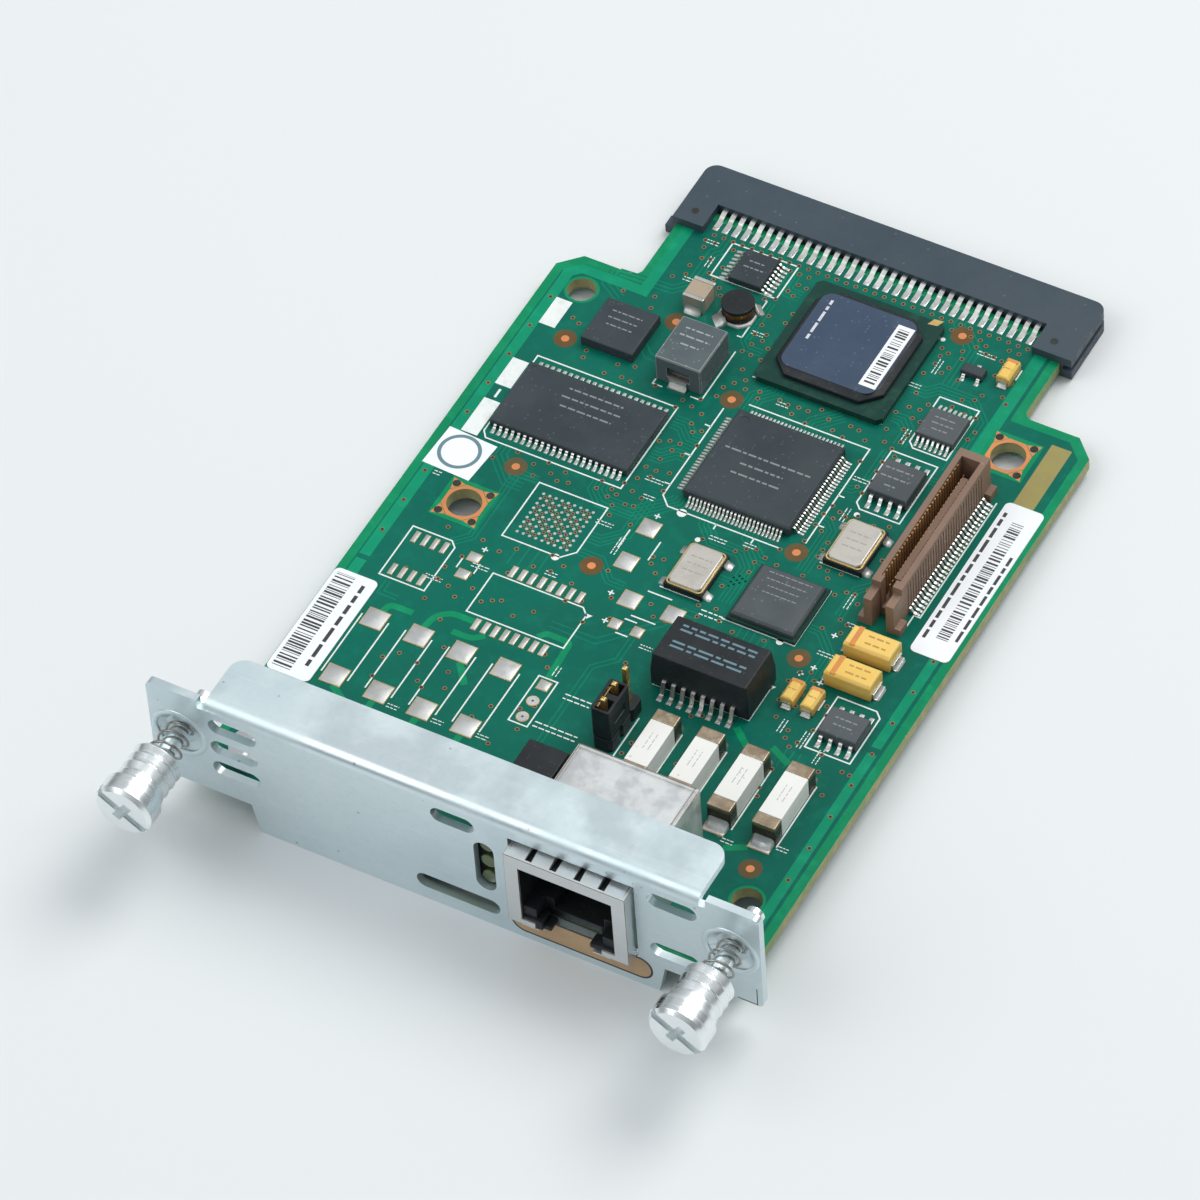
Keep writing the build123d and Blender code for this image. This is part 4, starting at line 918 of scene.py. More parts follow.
def bare_pads():
    """Unused pads: a gold-edged base with a slightly crowned tin top."""
    rims, tops = bmesh.new(), bmesh.new()
    rng = random.Random(SEED)
    for x, y, width, length in BARE_PADS:
        w, h = width / 2, length / 2
        box(rims, x - w, x + w, y - h, y + h, TOP, TOP + PAD)
        edge = min(0.16, w * 0.3)
        lift = TIN + rng.uniform(0, 0.03)
        w, h = w - edge / 2, h - edge / 2
        soft_box(tops, x - w, x + w, y - h, y + h, TOP, TOP + lift, edge * 0.55)
    for x, y in ROUND_PADS:
        disc(rims, x, y, TOP, TOP + PAD, 0.78, 24)
        disc(tops, x, y, TOP, TOP + TIN, 0.68, 24)
    piece(rims, "pad_rims", PAD_GOLD)
    piece(tops, "pad_tops", PAD_TIN)
    # Dark discs of painted shade in the pads' holes.
    holes = bmesh.new()
    for x, y in ROUND_PADS + ((-5.1, -18.1),):
        disc(holes, x, y, TOP, TOP + TIN + 0.01, 0.14, 12)
    piece(holes, "pad_holes", HOLE_SHADE)


def ball_grid():
    """The bare grid of round pads for an absent chip, with through contacts between them."""
    bm, rings, holes = bmesh.new(), bmesh.new(), bmesh.new()
    for i in range(9):
        for j in range(9):
            x, y = -19.2 + i * 0.825, 1.0 + j * 0.8
            disc(bm, x, y, TOP, TOP + PAD, 0.2, 10)
            if i < 8 and j < 8 and (i + j) % 3:
                ring(rings, x + 0.41, y + 0.4, TOP, TOP + PAD, 0.15, 0.24, 10)
                disc(holes, x + 0.41, y + 0.4, TOP, TOP + PAD - 0.01, 0.16, 10)
    piece(bm, "ball_grid_pads", PAD_TIN)
    piece(rings, "ball_grid_rings", VIA_RING)
    # The through contacts' holes are dark discs of painted shade.
    piece(holes, "ball_grid_holes", HOLE_SHADE)


# White printed lines
FUSE_LINES_X = (-29.25, -25.75, -23.45, -20.0, -17.7, -14.2, -12.0, -8.45)
LIVE_FUSE_LINES_X = (7.0, 12.6, 18.35, 24.15, 29.9)
OPEN_LINES = (
    ((-9.95, 45.6), (-9.95, 39.2)), ((-9.95, 45.6), (-10.6, 45.6)), ((-9.95, 39.2), (-10.6, 39.2)),
    ((-9.55, 36.9), (-9.55, 28.3), (-11.0, 28.3)), ((-16.0, 29.0), (-16.0, 28.2), (-14.7, 28.2)),
    ((-22.2, 56.0), (-22.2, 52.7), (-26.0, 52.7)),
    ((-4.2, 30.2), (11.8, 30.2), (11.8, 14.1)), ((-6.6, 28.4), (-6.6, 13.4), (-5.3, 12.1), (9.8, 12.1)),
    ((-30.3, 24.9), (-30.3, 26.1), (-11.5, 26.1), (-11.5, 12.1), (-29.6, 12.1), (-30.3, 13.0),
     (-30.3, 14.8)),
    ((-22.9, -5.3), (-22.9, -6.9)), ((-20.6, -5.3), (-20.6, -6.9)), ((-7.5, 7.0), (-7.5, 4.0)),
    ((-3.4, 6.9), (-3.4, 3.8)), ((-1.2, -0.3), (2.0, -0.3)), ((-1.2, -4.4), (2.0, -4.4)),
    ((-1.6, -5.15), (0.0, -5.15)), ((-1.6, -7.45), (0.0, -7.45)),
    ((5.9, -12.3), (18.4, -12.3), (18.4, -6.7)), ((24.7, -3.5), (27.8, -3.5)), ((24.8, -5.8), (24.8, -7.5)),
    ((8.4, -0.2), (17.85, -0.2), (17.85, 9.0)), ((-0.3, 0.95), (4.9, 0.95)), ((14.6, 12.3), (19.8, 12.3)),
    ((22.2, 49.0), (22.2, 47.3)), ((28.9, 29.3), (28.9, 9.9), (28.1, 9.9), (28.1, 6.6)),
)
CLOSED_LINES = (
    rect_line(-18.0, -9.15, 46.4, 52.1), rect_line(-6.35, -3.9, -24.3, -17.0),
    ((-20.5, 8.75), (-11.4, 8.75), (-11.4, 1.2), (-12.8, -0.3), (-20.5, -0.3)),
    ((-30.5, -3.6), (-25.3, -3.6), (-24.5, -4.4), (-24.5, -11.7), (-30.5, -11.7)),
    ((-18.6, -5.8), (-6.7, -5.8), (-5.8, -6.7), (-5.8, -12.2), (-18.6, -12.2)),
    ((25.9, -4.7), (30.9, -4.7), (31.7, -5.5), (31.7, -12.9), (25.9, -12.9)),
    ((14.2, 31.2), (20.2, 31.2), (20.2, 21.5), (15.0, 21.5), (14.2, 22.3)),
    ((15.4, 41.1), (20.6, 41.1), (20.6, 32.6), (16.2, 32.6), (15.4, 33.4)),
)
TICKS = ([((-6.6, y), (-7.4, y)) for y in (25.2, 20.2, 15.2)] + [((x, 12.1), (x, 11.3)) for x in (1.15, 6.1)]
         + [((11.8, y), (12.6, y)) for y in (22.3, 17.2)])
PLUS_MARKS = ((-5.6, 10.2), (-4.9, -2.4), (-3.5, -6.4), (-21.2, -3.1), (21.3, 3.2), (21.4, -2.1),
              (20.4, -3.5), (23.1, -3.8))
WHITE_BOXES = ((-32.8, -30.65, 30.8, 35.3), (-32.8, -30.65, 20.1, 24.6), (-32.8, -30.65, 11.9, 17.6),
               (-31.85, -31.55, 18.1, 19.5))
ROUND_MARKS = ((-3.3, 11.9, 0.6), (16.1, -0.4, 0.45), (-13.3, -0.5, 0.5), (0.3, 9.1, 0.35),
               (15.1, 20.6, 0.35), (11.6, 49.3, 0.3))
LINE_WIDTH = 0.18

# Short rows of plain bars: middle x, middle y, length, and whether they run along Y
MARKS = ((-20.2, 51.1, 1.6, 0), (-19.1, 48.2, 1.8, 1), (-19.8, 44.6, 1.8, 0), (-8.5, 40.5, 1.6, 0),
         (13.0, 45.2, 2.4, 1), (12.0, 41.4, 1.4, 0), (17.4, 49.3, 2.4, 0), (20.7, 48.8, 1.8, 0),
         (14.6, 33.8, 2.4, 1), (-10.6, 6.5, 2.2, 0), (-20.4, -5.7, 2.2, 0), (-24.5, -9.5, 2.2, 0),
         (-7.6, 4.2, 2.8, 1), (2.4, 10.1, 2.2, 0), (6.2, 10.9, 1.6, 0), (-8.5, 14.9, 2.4, 0),
         (-0.6, 31.9, 1.6, 0), (-7.9, 12.3, 1.6, 0), (13.9, 20.0, 2.2, 1), (13.2, 25.5, 2.2, 0),
         (20.5, 8.5, 2.4, 1), (7.2, -0.4, 3.0, 0), (22.8, 5.4, 2.2, 0), (21.8, 0.2, 2.2, 0),
         (-12.5, -3.0, 1.5, 0), (-4.8, -15.6, 1.5, 1), (-19.2, -28.5, 1.5, 0), (-13.5, -28.2, 1.5, 0),
         (-7.8, -27.9, 1.5, 0), (24.5, -29.0, 1.5, 0), (30.7, -27.3, 1.5, 0), (22.2, -11.3, 2.0, 1),
         (25.3, -12.1, 2.6, 1), (28.0, -13.6, 2.2, 1), (-0.6, -18.4, 3.4, 0), (-0.7, -23.5, 5.5, 0),
         (-32.0, 4.8, 1.0, 0), (2.7, -8.0, 1.6, 0))


def board_print():
    """Plain white outlines, ticks and fields round the parts."""
    bm = bmesh.new()
    high = TOP + SILK
    ribbons(bm, OPEN_LINES, LINE_WIDTH, TOP, high)
    ribbons(bm, CLOSED_LINES, LINE_WIDTH, TOP, high, closed=True)
    ribbons(bm, TICKS, LINE_WIDTH, TOP, high)
    ribbons(bm, [((x, -17.8), (x, -27.4)) for x in FUSE_LINES_X], LINE_WIDTH, TOP, high)
    ribbons(bm, [((x, -17.5), (x, -27.3)) for x in LIVE_FUSE_LINES_X], LINE_WIDTH, TOP, high)
    for x, y in PLUS_MARKS:
        ribbon(bm, ((x - 0.4, y), (x + 0.4, y)), LINE_WIDTH, TOP, high)
        ribbon(bm, ((x, y - 0.4), (x, y + 0.4)), LINE_WIDTH, TOP, high + 0.002)
    for x0, x1, y0, y1 in WHITE_BOXES:
        box(bm, x0, x1, y0, y1, TOP, high)
    for x, y, radius in ROUND_MARKS:
        disc(bm, x, y, TOP, high, radius, 20)
    for x, y in ((-5.6, -6.8), (18.4, -6.9)):
        plate(bm, ((x - 0.5, y + 0.35), (x, y - 0.35), (x + 0.5, y + 0.35)), TOP, high)
    dash, gap = 0.9, 0.45
    y = 34.3
    while y < 50.5:
        box(bm, 11.05, 11.25, y, min(y + dash, 50.5), TOP, high)
        y += dash + gap
    x = -5.9
    while x < 11.1:
        box(bm, x, min(x + dash, 11.1), 34.2, 34.4, TOP, high)
        x += dash + gap
    rng = random.Random(SEED + 5)
    for x, y, length, upright in MARKS:
        size = 0.75 if length < 3 else 1.1
        start = (y if upright else x) - length / 2
        for line in (-0.3 * size, 0.3 * size):
            dashes(bm, rng, start, start + length, (x if upright else y) + line, size * 0.55, high - 0.008,
                   upright, 0.14)
    piece(bm, "board_print", WHITE_INK)
    field, circle = bmesh.new(), bmesh.new()
    corners = ((-34.2, 11.8), (-34.5, 5.6), (-28.1, 5.3), (-27.6, 11.4))
    plate(field, corners, TOP + SILK, TOP + SILK + 0.02)
    ring(circle, -31.25, 8.8, TOP + SILK + 0.02, TOP + SILK + 0.04, 2.2, 2.65, 40)
    piece(field, "check_field", PAPER)
    piece(circle, "check_ring", BLUE_INK)
    bare = bmesh.new()
    box(bare, 30.6, 33.2, 30.0, 40.2, TOP, TOP + POUR)
    piece(bare, "bare_strip", BARE)


# Leads and solder

def bar(points, thick, width):
    """A strip bent along (out, up) points, its middle on y = 0, as a loose mesh."""
    bm = bmesh.new()
    ribbon(bm, points, thick, -width / 2, width / 2)
    bmesh.ops.rotate(bm, cent=(0, 0, 0), matrix=Matrix.Rotation(math.radians(90), 3, "X"), verts=bm.verts)
    return shape_from(bm)


def gull(root, out, rise, foot, thick, width):
    """A lead: level shoulder, slope and flat foot, with rounded bends."""
    level = out - foot
    shoulder = root + min(0.3, (level - root) * 0.35)
    mid = thick / 2
    line = [(root - 0.1, rise), (shoulder, rise), (level, mid + 0.03), (out, mid + 0.03)]
    return bar(rounded(line, thick * 1.4, 2), thick, width)


def solder_pad(length, width, height):
    """A low mound of solder on its pad."""
    bm = bmesh.new()
    made = box(bm, 0, length, -width / 2, width / 2, 0, height)
    top = [e for v in made for e in v.link_edges if all(u.co.z > height / 2 for u in e.verts)]
    bmesh.ops.bevel(bm, geom=list(set(top)), offset=height * 0.8, segments=2, affect="EDGES", profile=0.5,
                    material=-1)
    return shape_from(bm)


def lead_rows(metal, solder, node, turns, count, pitch, out, rise, thick, width, foot, pad=0.35):
    """Rows of leads round a chip, out being their reach from the body's side."""
    x, y = middle_of(node)
    for turn in turns:
        across = high_of(node, "x") - x if turn in (0, 180) else high_of(node, "y") - y
        shape = gull(across, across + out, rise, foot, thick, width)
        mound = solder_pad(foot + pad, width * 1.35, 0.12)
        angle = math.radians(turn)
        for i in range(count):
            along = (i - (count - 1) / 2) * pitch
            px, py = x - along * math.sin(angle), y + along * math.cos(angle)
            stamp(metal, shape, px, py, TOP, turn)
            start = across + out - foot
            stamp(solder, mound, px + start * math.cos(angle), py + start * math.sin(angle), TOP, turn)


# Rows of leads by name: node, sides by degrees, how many on a side, pitch, reach, height of the shoulder,
# thickness, width and length of the foot
LEAD_SETS = (
    ("processor", (("processor_body", (0, 90, 180, 270), 25, 0.5, 1.0, 0.7, 0.13, 0.24, 0.45),)),
    ("memory", (("memory_body", (90, 270), 22, 0.8, 0.8, 0.5, 0.15, 0.36, 0.5),)),
    ("fine_chip", (("buffer_chip", (0, 180), 8, 0.65, 1.0, 0.5, 0.15, 0.28, 0.5),
                   ("logic_chip", (90, 270), 7, 0.65, 1.0, 0.5, 0.15, 0.28, 0.5))),
    ("small_chip", (("flash_chip", (90, 270), 4, 1.27, 1.3, 0.8, 0.2, 0.45, 0.6),
                    ("monitor_chip", (90, 270), 4, 1.27, 1.05, 0.7, 0.2, 0.45, 0.6),
                    ("transistor_body", (90,), 1, 1.9, 0.55, 0.4, 0.15, 0.42, 0.3),
                    ("transistor_body", (270,), 2, 1.9, 0.55, 0.4, 0.15, 0.42, 0.3))),
    ("transformer", (("transformer_body", (90, 270), 8, 1.27, 1.45, 1.75, 0.25, 0.5, 0.7),)),
)


def chip_leads():
    """Bent leads on their solder, round each chip that has them."""
    for name, rows in LEAD_SETS:
        metal, solder = bmesh.new(), bmesh.new()
        for row in rows:
            lead_rows(metal, solder, *row)
        piece(metal, name + "_leads_bent", LEAD_TIN, slot="contact_tin", replaces=(name + "_leads",))
        piece(solder, name + "_solder", SOLDER, slot="contact_tin")


def pin_one_ring(bm, node, radius, inset):
    """The rim of the round dimple near a chip's corner, as a thin ring just over its top."""
    x, y = low_of(node, "x") + inset, high_of(node, "y") - inset
    top = high_of(node, "z")
    ring(bm, x, y, top - 0.02, top + 0.006, radius * 0.75, radius, 24)


def chips():
    """The chips' bodies and the rims of their pin-one dimples."""
    for node in ("processor_body", "memory_body", "regulator_chip", "buffer_chip", "transistor_body"):
        dressed(node, EPOXY, 0.06)
    for node in ("logic_chip", "flash_chip", "monitor_chip", "line_chip_cap"):
        dressed(node, EPOXY_GREY, 0.06)
    dressed("framer_cap", BLACK, 0.12, 3)
    for node in ("framer_base", "line_chip_base"):
        dressed(node, CARRIER, 0.04)
    marks = bmesh.new()
    dimples = (("regulator_chip", 0.35, 0.9), ("buffer_chip", 0.3, 0.7), ("logic_chip", 0.3, 0.7),
               ("flash_chip", 0.35, 0.8), ("monitor_chip", 0.35, 0.8), ("line_chip_cap", 0.4, 1.0))
    for node, radius, inset in dimples:
        pin_one_ring(marks, node, radius, inset)
    piece(marks, "pin_one_marks", EPOXY_GREY, slot="chip_black")


def dashes(bm, rng, x0, x1, y, size, z, upright=False, thick=0.16):
    """A row of thin plain bars of uneven length."""
    x = x0
    while x < x1:
        length = rng.uniform(0.5, 1.6) * size
        end = min(x + length, x1)
        if upright:
            box(bm, y - size * thick, y + size * thick, x, end, z, z + 0.008)
        else:
            box(bm, x, end, y - size * thick, y + size * thick, z, z + 0.008)
        x = end + size * 0.3


def stripes(bm, rng, x0, x1, y0, y1, z, upright=False):
    """A field of plain stripes of uneven width."""
    y = y0
    while y < y1:
        width = rng.choice((0.1, 0.1, 0.2, 0.3))
        end = min(y + width, y1)
        if upright:
            box(bm, y, end, x0, x1, z, z + 0.006)
        else:
            box(bm, x0, x1, y, end, z, z + 0.006)
        y = end + rng.choice((0.15, 0.22, 0.34))


def bars_on(bm, rng, node, size, rows, x=None, y=None):
    """Rows of plain bars on a node's top: each row's place along Y and half its length."""
    middle = middle_of(node)
    x = middle[0] if x is None else x
    y = middle[1] if y is None else y
    for line, reach in rows:
        dashes(bm, rng, x - reach, x + reach, y + line, size, high_of(node, "z"))


def chip_print():
    """Faint rows of plain bars on the larger chips."""
    rng = random.Random(SEED + 1)
    bm = bmesh.new()
    bars_on(bm, rng, "processor_body", 0.8, ((22.2, 5.6), (20.6, 2.8), (19.0, 3.2)), 2.6, 0)
    bars_on(bm, rng, "memory_body", 0.75, ((22.4, 3.6), (21.0, 3.9), (19.6, 3.4)), -20.3, 0)
    bars_on(bm, rng, "line_chip_cap", 0.5, ((7.6, 2.8), (6.6, 2.6), (5.6, 2.0), (4.6, 2.2)), 13.4, 0)
    bars_on(bm, rng, "flash_chip", 0.7, ((27.5, 1.8), (26.2, 1.8), (24.9, 0.7)), 17.2, 0)
    piece(bm, "chip_print", GREY_INK, slot="chip_black")
    bm = bmesh.new()
    top = high_of("transformer_body", "z")
    x, reach = 12.2, 4.8
    for y in (-7.4, -10.0):
        for line in (0.35, -0.35):
            dashes(bm, rng, x - reach, x + reach, y + line, 1.2, top, thick=0.12)
    piece(bm, "transformer_print", BLUE_INK, slot="black_plastic")


def framer_labels():
    """A dark rounded label and a white striped strip on the large chip."""
    top = high_of("framer_cap", "z")
    x, y = middle_of("framer_cap")
    bm = bmesh.new()
    plate(bm, round_rect(x - 6.3, x + 6.3, y - 6.3, y + 6.3, 1.5, 6), top, top + 0.03)
    piece(bm, "framer_label", CHIP_LABEL, slot="chip_black")
    bm = bmesh.new()
    box(bm, x + 3.9, x + 6.1, y - 5.2, y + 5.2, top + 0.03, top + 0.06)
    piece(bm, "framer_strip", PAPER, slot="label_paper")
    rng = random.Random(SEED + 2)
    bm = bmesh.new()
    stripes(bm, rng, x + 4.3, x + 5.7, y - 4.6, y + 4.6, top + 0.06)
    piece(bm, "framer_stripes", DARK_INK, slot="label_paper")
    bm = bmesh.new()
    dashes(bm, rng, y - 1.5, y + 5.2, x - 4.9, 1.1, top + 0.03, upright=True)
    piece(bm, "framer_print", PALE_INK, slot="label_paper")
    bm = bmesh.new()
    base = high_of("framer_base", "z")
    plate(bm, ((9.2, 50.0), (10.4, 50.2), (10.8, 51.2), (9.6, 51.0)), base, base + 0.02)
    piece(bm, "framer_corner_mark", CONTACT_GOLD, slot="contact_gold")


def paper_labels():
    """The two white stickers with plain stripes."""
    for side in ("left", "right"):
        node = side + "_label"
        bm = bmesh.new()
        plate(bm, round_rect(*sides_of(node), 0.7), TOP, high_of(node, "z"))
        piece(bm, node + "_paper", PAPER, slot="label_paper", replaces=(node,))
    rng = random.Random(SEED + 3)
    bm = bmesh.new()
    top = high_of("left_label", "z")
    stripes(bm, rng, -34.9, -32.5, -29.0, -13.6, top)
    dashes(bm, rng, -27.6, -13.8, -31.1, 1.5, top, upright=True)
    stripes(bm, rng, 31.9, 33.4, 8.0, 27.6, top)
    dashes(bm, rng, 7.4, 28.4, 30.6, 1.3, top, upright=True)
    dashes(bm, rng, 8.4, 22.6, 34.3, 1.2, top, upright=True)
    piece(bm, "label_stripes", DARK_INK, slot="label_paper")


# Connectors

def edge_connector():
    """The dark connector at the back and its bent contacts above and below the board."""
    dressed("edge_connector_housing", EDGE_PLASTIC, 0.12)
    # Dark discs of painted shade stand for the holes in the connector's ears.
    bm = bmesh.new()
    top = high_of("edge_connector_housing", "z")
    for x in (-24.0, 24.0):
        disc(bm, x, 53.85, top - 0.1, top + 0.01, 0.5, 24)
    piece(bm, "edge_ear_holes", HOLE_SHADE, slot="edge_plastic")
    metal, solder = bmesh.new(), bmesh.new()
    count, pitch, width = 34, 1.27, 0.62
    foot = low_of("edge_connector_contacts", "y")
    root = high_of("edge_connector_contacts", "y")
    rise = 0.55
    line = rounded([(0, 0.12), (1.2, 0.12), (1.9, rise), (root - foot + 0.1, rise)], 0.4, 2)
    upper = bar(line, 0.2, width)
    mound = solder_pad(1.7, width * 1.3, 0.16)
    for i in range(count):
        x = (i - (count - 1) / 2) * pitch
        stamp(metal, upper, x, foot, TOP, 90)
        stamp(solder, mound, x, foot - 0.45, TOP, 90)
    mirrored = metal.copy()
    bmesh.ops.scale(mirrored, vec=(1, 1, -1), verts=mirrored.verts)
    bmesh.ops.translate(mirrored, vec=(0, 0, TOP + BOARD_LOW), verts=mirrored.verts)
    lower = shape_from(mirrored)
    metal.from_mesh(lower)
    piece(metal, "edge_contacts_bent", LEAD_TIN, slot="contact_tin", replaces=("edge_connector_contacts",))
    piece(solder, "edge_solder", SOLDER, slot="contact_tin")


def wall_strip(bm, x, side, inner, thick, y, half, z0, z1):
    """A thin upright strip on a wall left or right of x, its heights counted from the board."""
    x0, x1 = sorted((x + side * inner, x + side * (inner + thick)))
    box(bm, x0, x1, y - half, y + half, TOP + z0, TOP + z1)


def mezzanine():
    """The brown connector at the right: bent legs, contact strips inside and ribs outside."""
    dressed("mezzanine_housing", SLOT_PLASTIC, 0.03)
    metal, solder, strips, ribs = (bmesh.new() for _ in range(4))
    x, _ = middle_of("mezzanine_contacts")
    count, pitch, width, foot, wall = 30, 0.635, 0.3, 0.6, 1.95
    y0 = low_of("mezzanine_contacts", "y") + width / 2
    reach = high_of("mezzanine_contacts", "x") - x
    shape = gull(wall, reach, 0.8, foot, 0.2, width)
    mound = solder_pad(0.8, width * 1.3, 0.12)
    for i in range(count):
        y = y0 + i * pitch
        for side in (-1, 1):
            turn = 90 - 90 * side
            stamp(metal, shape, x, y, TOP, turn)
            stamp(solder, mound, x + side * (reach - foot), y, TOP, turn)
            wall_strip(strips, x, side, 1.08, 0.12, y, 0.16, 1.2, 5.2)
            wall_strip(strips, x, side, 0.4, 0.08, y, 0.14, 1.3, 3.7)
            wall_strip(ribs, x, side, wall - 0.05, 0.12, y, 0.14, 1.0, 5.0)
    piece(metal, "mezzanine_legs", LEAD_TIN, slot="contact_tin", replaces=("mezzanine_contacts",))
    piece(solder, "mezzanine_solder", SOLDER, slot="contact_tin")
    piece(strips, "mezzanine_strips", CONTACT_BROWN, slot="contact_gold")
    piece(ribs, "mezzanine_ribs", SLOT_PLASTIC, slot="slot_plastic")


# The printed band under the port: low and high along X, then in height from the board's top
PORT_BAND = (7.1, 25.0, -3.6, -0.2)


def front_end():
    """Bracket, jack, lamps and thumbscrews, and the printed band under the port."""
    # The bracket's rounded edges take the paler zinc as a painted highlight.
    dressed("front_bracket", BRACKET, 0.09, 2, ZINC_EDGE_HIGHLIGHT)
    dressed("bracket_screws", SCREW, 0.1)
    dressed("jack_shield", SHIELD, 0.06, 2, TIN_EDGE)
    dressed("jack_insert", BLACK, 0.08)
    dressed("jack_contacts", CONTACT_GOLD, 0.03)
    dressed("lamp_block", BLACK, 0.1)
    dressed("lamp_lenses", LENS, 0.15, 3)
    for side in ("left", "right"):
        dressed("thumbscrew_" + side, KNOB, 0.07)
    band, line = bmesh.new(), bmesh.new()
    x0, x1, low, high = PORT_BAND
    outline = round_rect(x0, x1, low, high, (high - low) / 2 * 0.98, 8)
    plate(band, outline, 0, 0.02)
    ribbon(line, outline, 0.25, 0, 0.03, closed=True)
    for bm, name, ink in ((band, "port_band", TAN_BAND), (line, "port_band_line", DARK_INK)):
        turn = Matrix.Translation((0, FACE, TOP)) @ Matrix.Rotation(math.radians(90), 4, "X")
        bmesh.ops.transform(bm, matrix=turn, verts=bm.verts)
        piece(bm, name, ink, slot="bracket_zinc")


def jack_details():
    """Latch hooks with bright tips in the port, the shield's seams, and a corner line on one ear."""
    front = low_of("jack_shield", "y")
    top = high_of("jack_shield", "z")
    x0, x1 = low_of("jack_shield", "x"), high_of("jack_shield", "x")
    hooks, tips, seams = bmesh.new(), bmesh.new(), bmesh.new()
    for low, high, lean in ((x0 + 1.9, x0 + 4.3, 1), (x1 - 4.4, x1 - 2.0, -1)):
        soft_box(hooks, low, high, front + 0.15, front + 2.2, 4.75, 6.1, 0.12)
        inner = (high - 0.2, high + 0.9) if lean > 0 else (low - 0.9, low + 0.2)
        soft_box(hooks, inner[0], inner[1], front + 0.5, front + 2.2, 4.7, 5.4, 0.1)
        soft_box(tips, low - 0.3, high - 0.4, front + 0.06, front + 0.9, 4.62, 4.76, 0.04)
    back = high_of("jack_shield", "y")
    box(seams, x0 + 0.2, x1 - 0.2, back - 0.42, back - 0.32, top - 0.05, top + 0.008)
    for x in (x0 + 0.32, x1 - 0.42):
        box(seams, x, x + 0.1, front + 6.5, back - 0.3, top - 0.05, top + 0.008)
    piece(hooks, "latch_hooks", BLACK, slot="black_plastic")
    piece(tips, "latch_tips", LEAD_TIN, slot="shield_tin")
    piece(seams, "shield_seams", TIN_EDGE, slot="shield_tin")
    mark = bmesh.new()
    box(mark, 35.9, 38.5, FACE - 0.012, FACE + 0.02, 4.55, 4.68)
    box(mark, 38.38, 38.5, FACE - 0.012, FACE + 0.02, 4.55, 7.4)
    piece(mark, "ear_corner_mark", DARK_INK, slot="bracket_zinc")


# The pressed rim round a dish: middle radius, half its width, and its height
RIM_RADIUS = 3.28
RIM_HALF = 0.36
RIM_HEIGHT = 0.16
RIM_STEPS = 8


def ear_rings():
    """The pressed rim round each screw's dish."""
    for side in ("left", "right"):
        x, z = middle_of("thumbscrew_" + side, "xz")
        bm = bmesh.new()
        section = []
        for i in range(RIM_STEPS + 1):
            a = math.pi * i / RIM_STEPS
            spot = (x + RIM_RADIUS + RIM_HALF * math.cos(a), FACE - RIM_HEIGHT * math.sin(a), z)
            section.append(bm.verts.new(spot))
        edges = [bm.edges.new((section[i - 1], section[i])) for i in range(RIM_STEPS + 1)]
        bmesh.ops.spin(bm, geom=section + edges, cent=(x, 0, z), axis=(0, 1, 0), angle=math.tau, steps=64,
                       use_merge=True)
        piece(bm, f"ear_rim_{side}", BRACKET, slot="bracket_zinc", angle=60)


def pilot_tips():
    """Plain pilot ends on the screws' threads."""
    for side in ("left", "right"):
        node = "thumbscrew_" + side
        x, z = middle_of(node, "xz")
        tip = high_of(node, "y")
        bm = bmesh.new()
        upright = Matrix.Rotation(math.radians(-90), 4, "X")
        for start, end, wide, narrow in ((-0.3, 0.7, 1.15, 1.15), (0.7, 1.0, 1.15, 0.8)):
            place = Matrix.Translation((x, tip + (start + end) / 2, z)) @ upright
            bmesh.ops.create_cone(bm, cap_ends=True, segments=32, radius1=wide, radius2=narrow,
                                  depth=end - start, matrix=place)
        piece(bm, node + "_pilot", KNOB, body=frame["nodes"][node]["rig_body"], slot="knob_nickel")


def under_side():
    """What shows below the board: solder round the pins, through contacts and tracks."""
    mounds, one = bmesh.new(), bmesh.new()
    bmesh.ops.create_cone(one, cap_ends=True, segments=20, radius1=0.8, radius2=0.3, depth=0.55)
    cone = shape_from(one)
    cone.transform(Matrix.Rotation(math.pi, 4, "X"))
    header = [(5.45, FACE + 28.1 + 2.54 * i) for i in (-1, 0, 1)]
    jack = [(15.4 + 1.02 * (i - 3.5), FACE + 14.8 - 1.27 * (i % 2)) for i in range(8)]
    shield = [(15.4 + side * 7.55, FACE + 11.04) for side in (-1, 1)]
    lamps = [(4.1 + side * 1.27, FACE + 13.8 - 2.54 * i) for i in range(3) for side in (-1, 1)]
    for x, y in header + jack + shield + lamps:
        stamp(mounds, cone, x, y, BOARD_LOW - 0.2)
    piece(mounds, "under_solder", SOLDER, slot="contact_tin")
    through_contacts("under", BOARD_LOW, -1)
    bm = bmesh.new()
    for number, (points, count, pitch) in enumerate(TRACKS):
        for i in range(0, count, 2):
            line = [(-x, y) for x, y in shifted(points, (i - (count - 1) / 2) * pitch)]
            ribbon(bm, line, TRACK_WIDTH, BOARD_LOW - TRACE - TRACK_STEP * (number % 9), BOARD_LOW)
    piece(bm, "under_tracks", BOARD_TRACE)


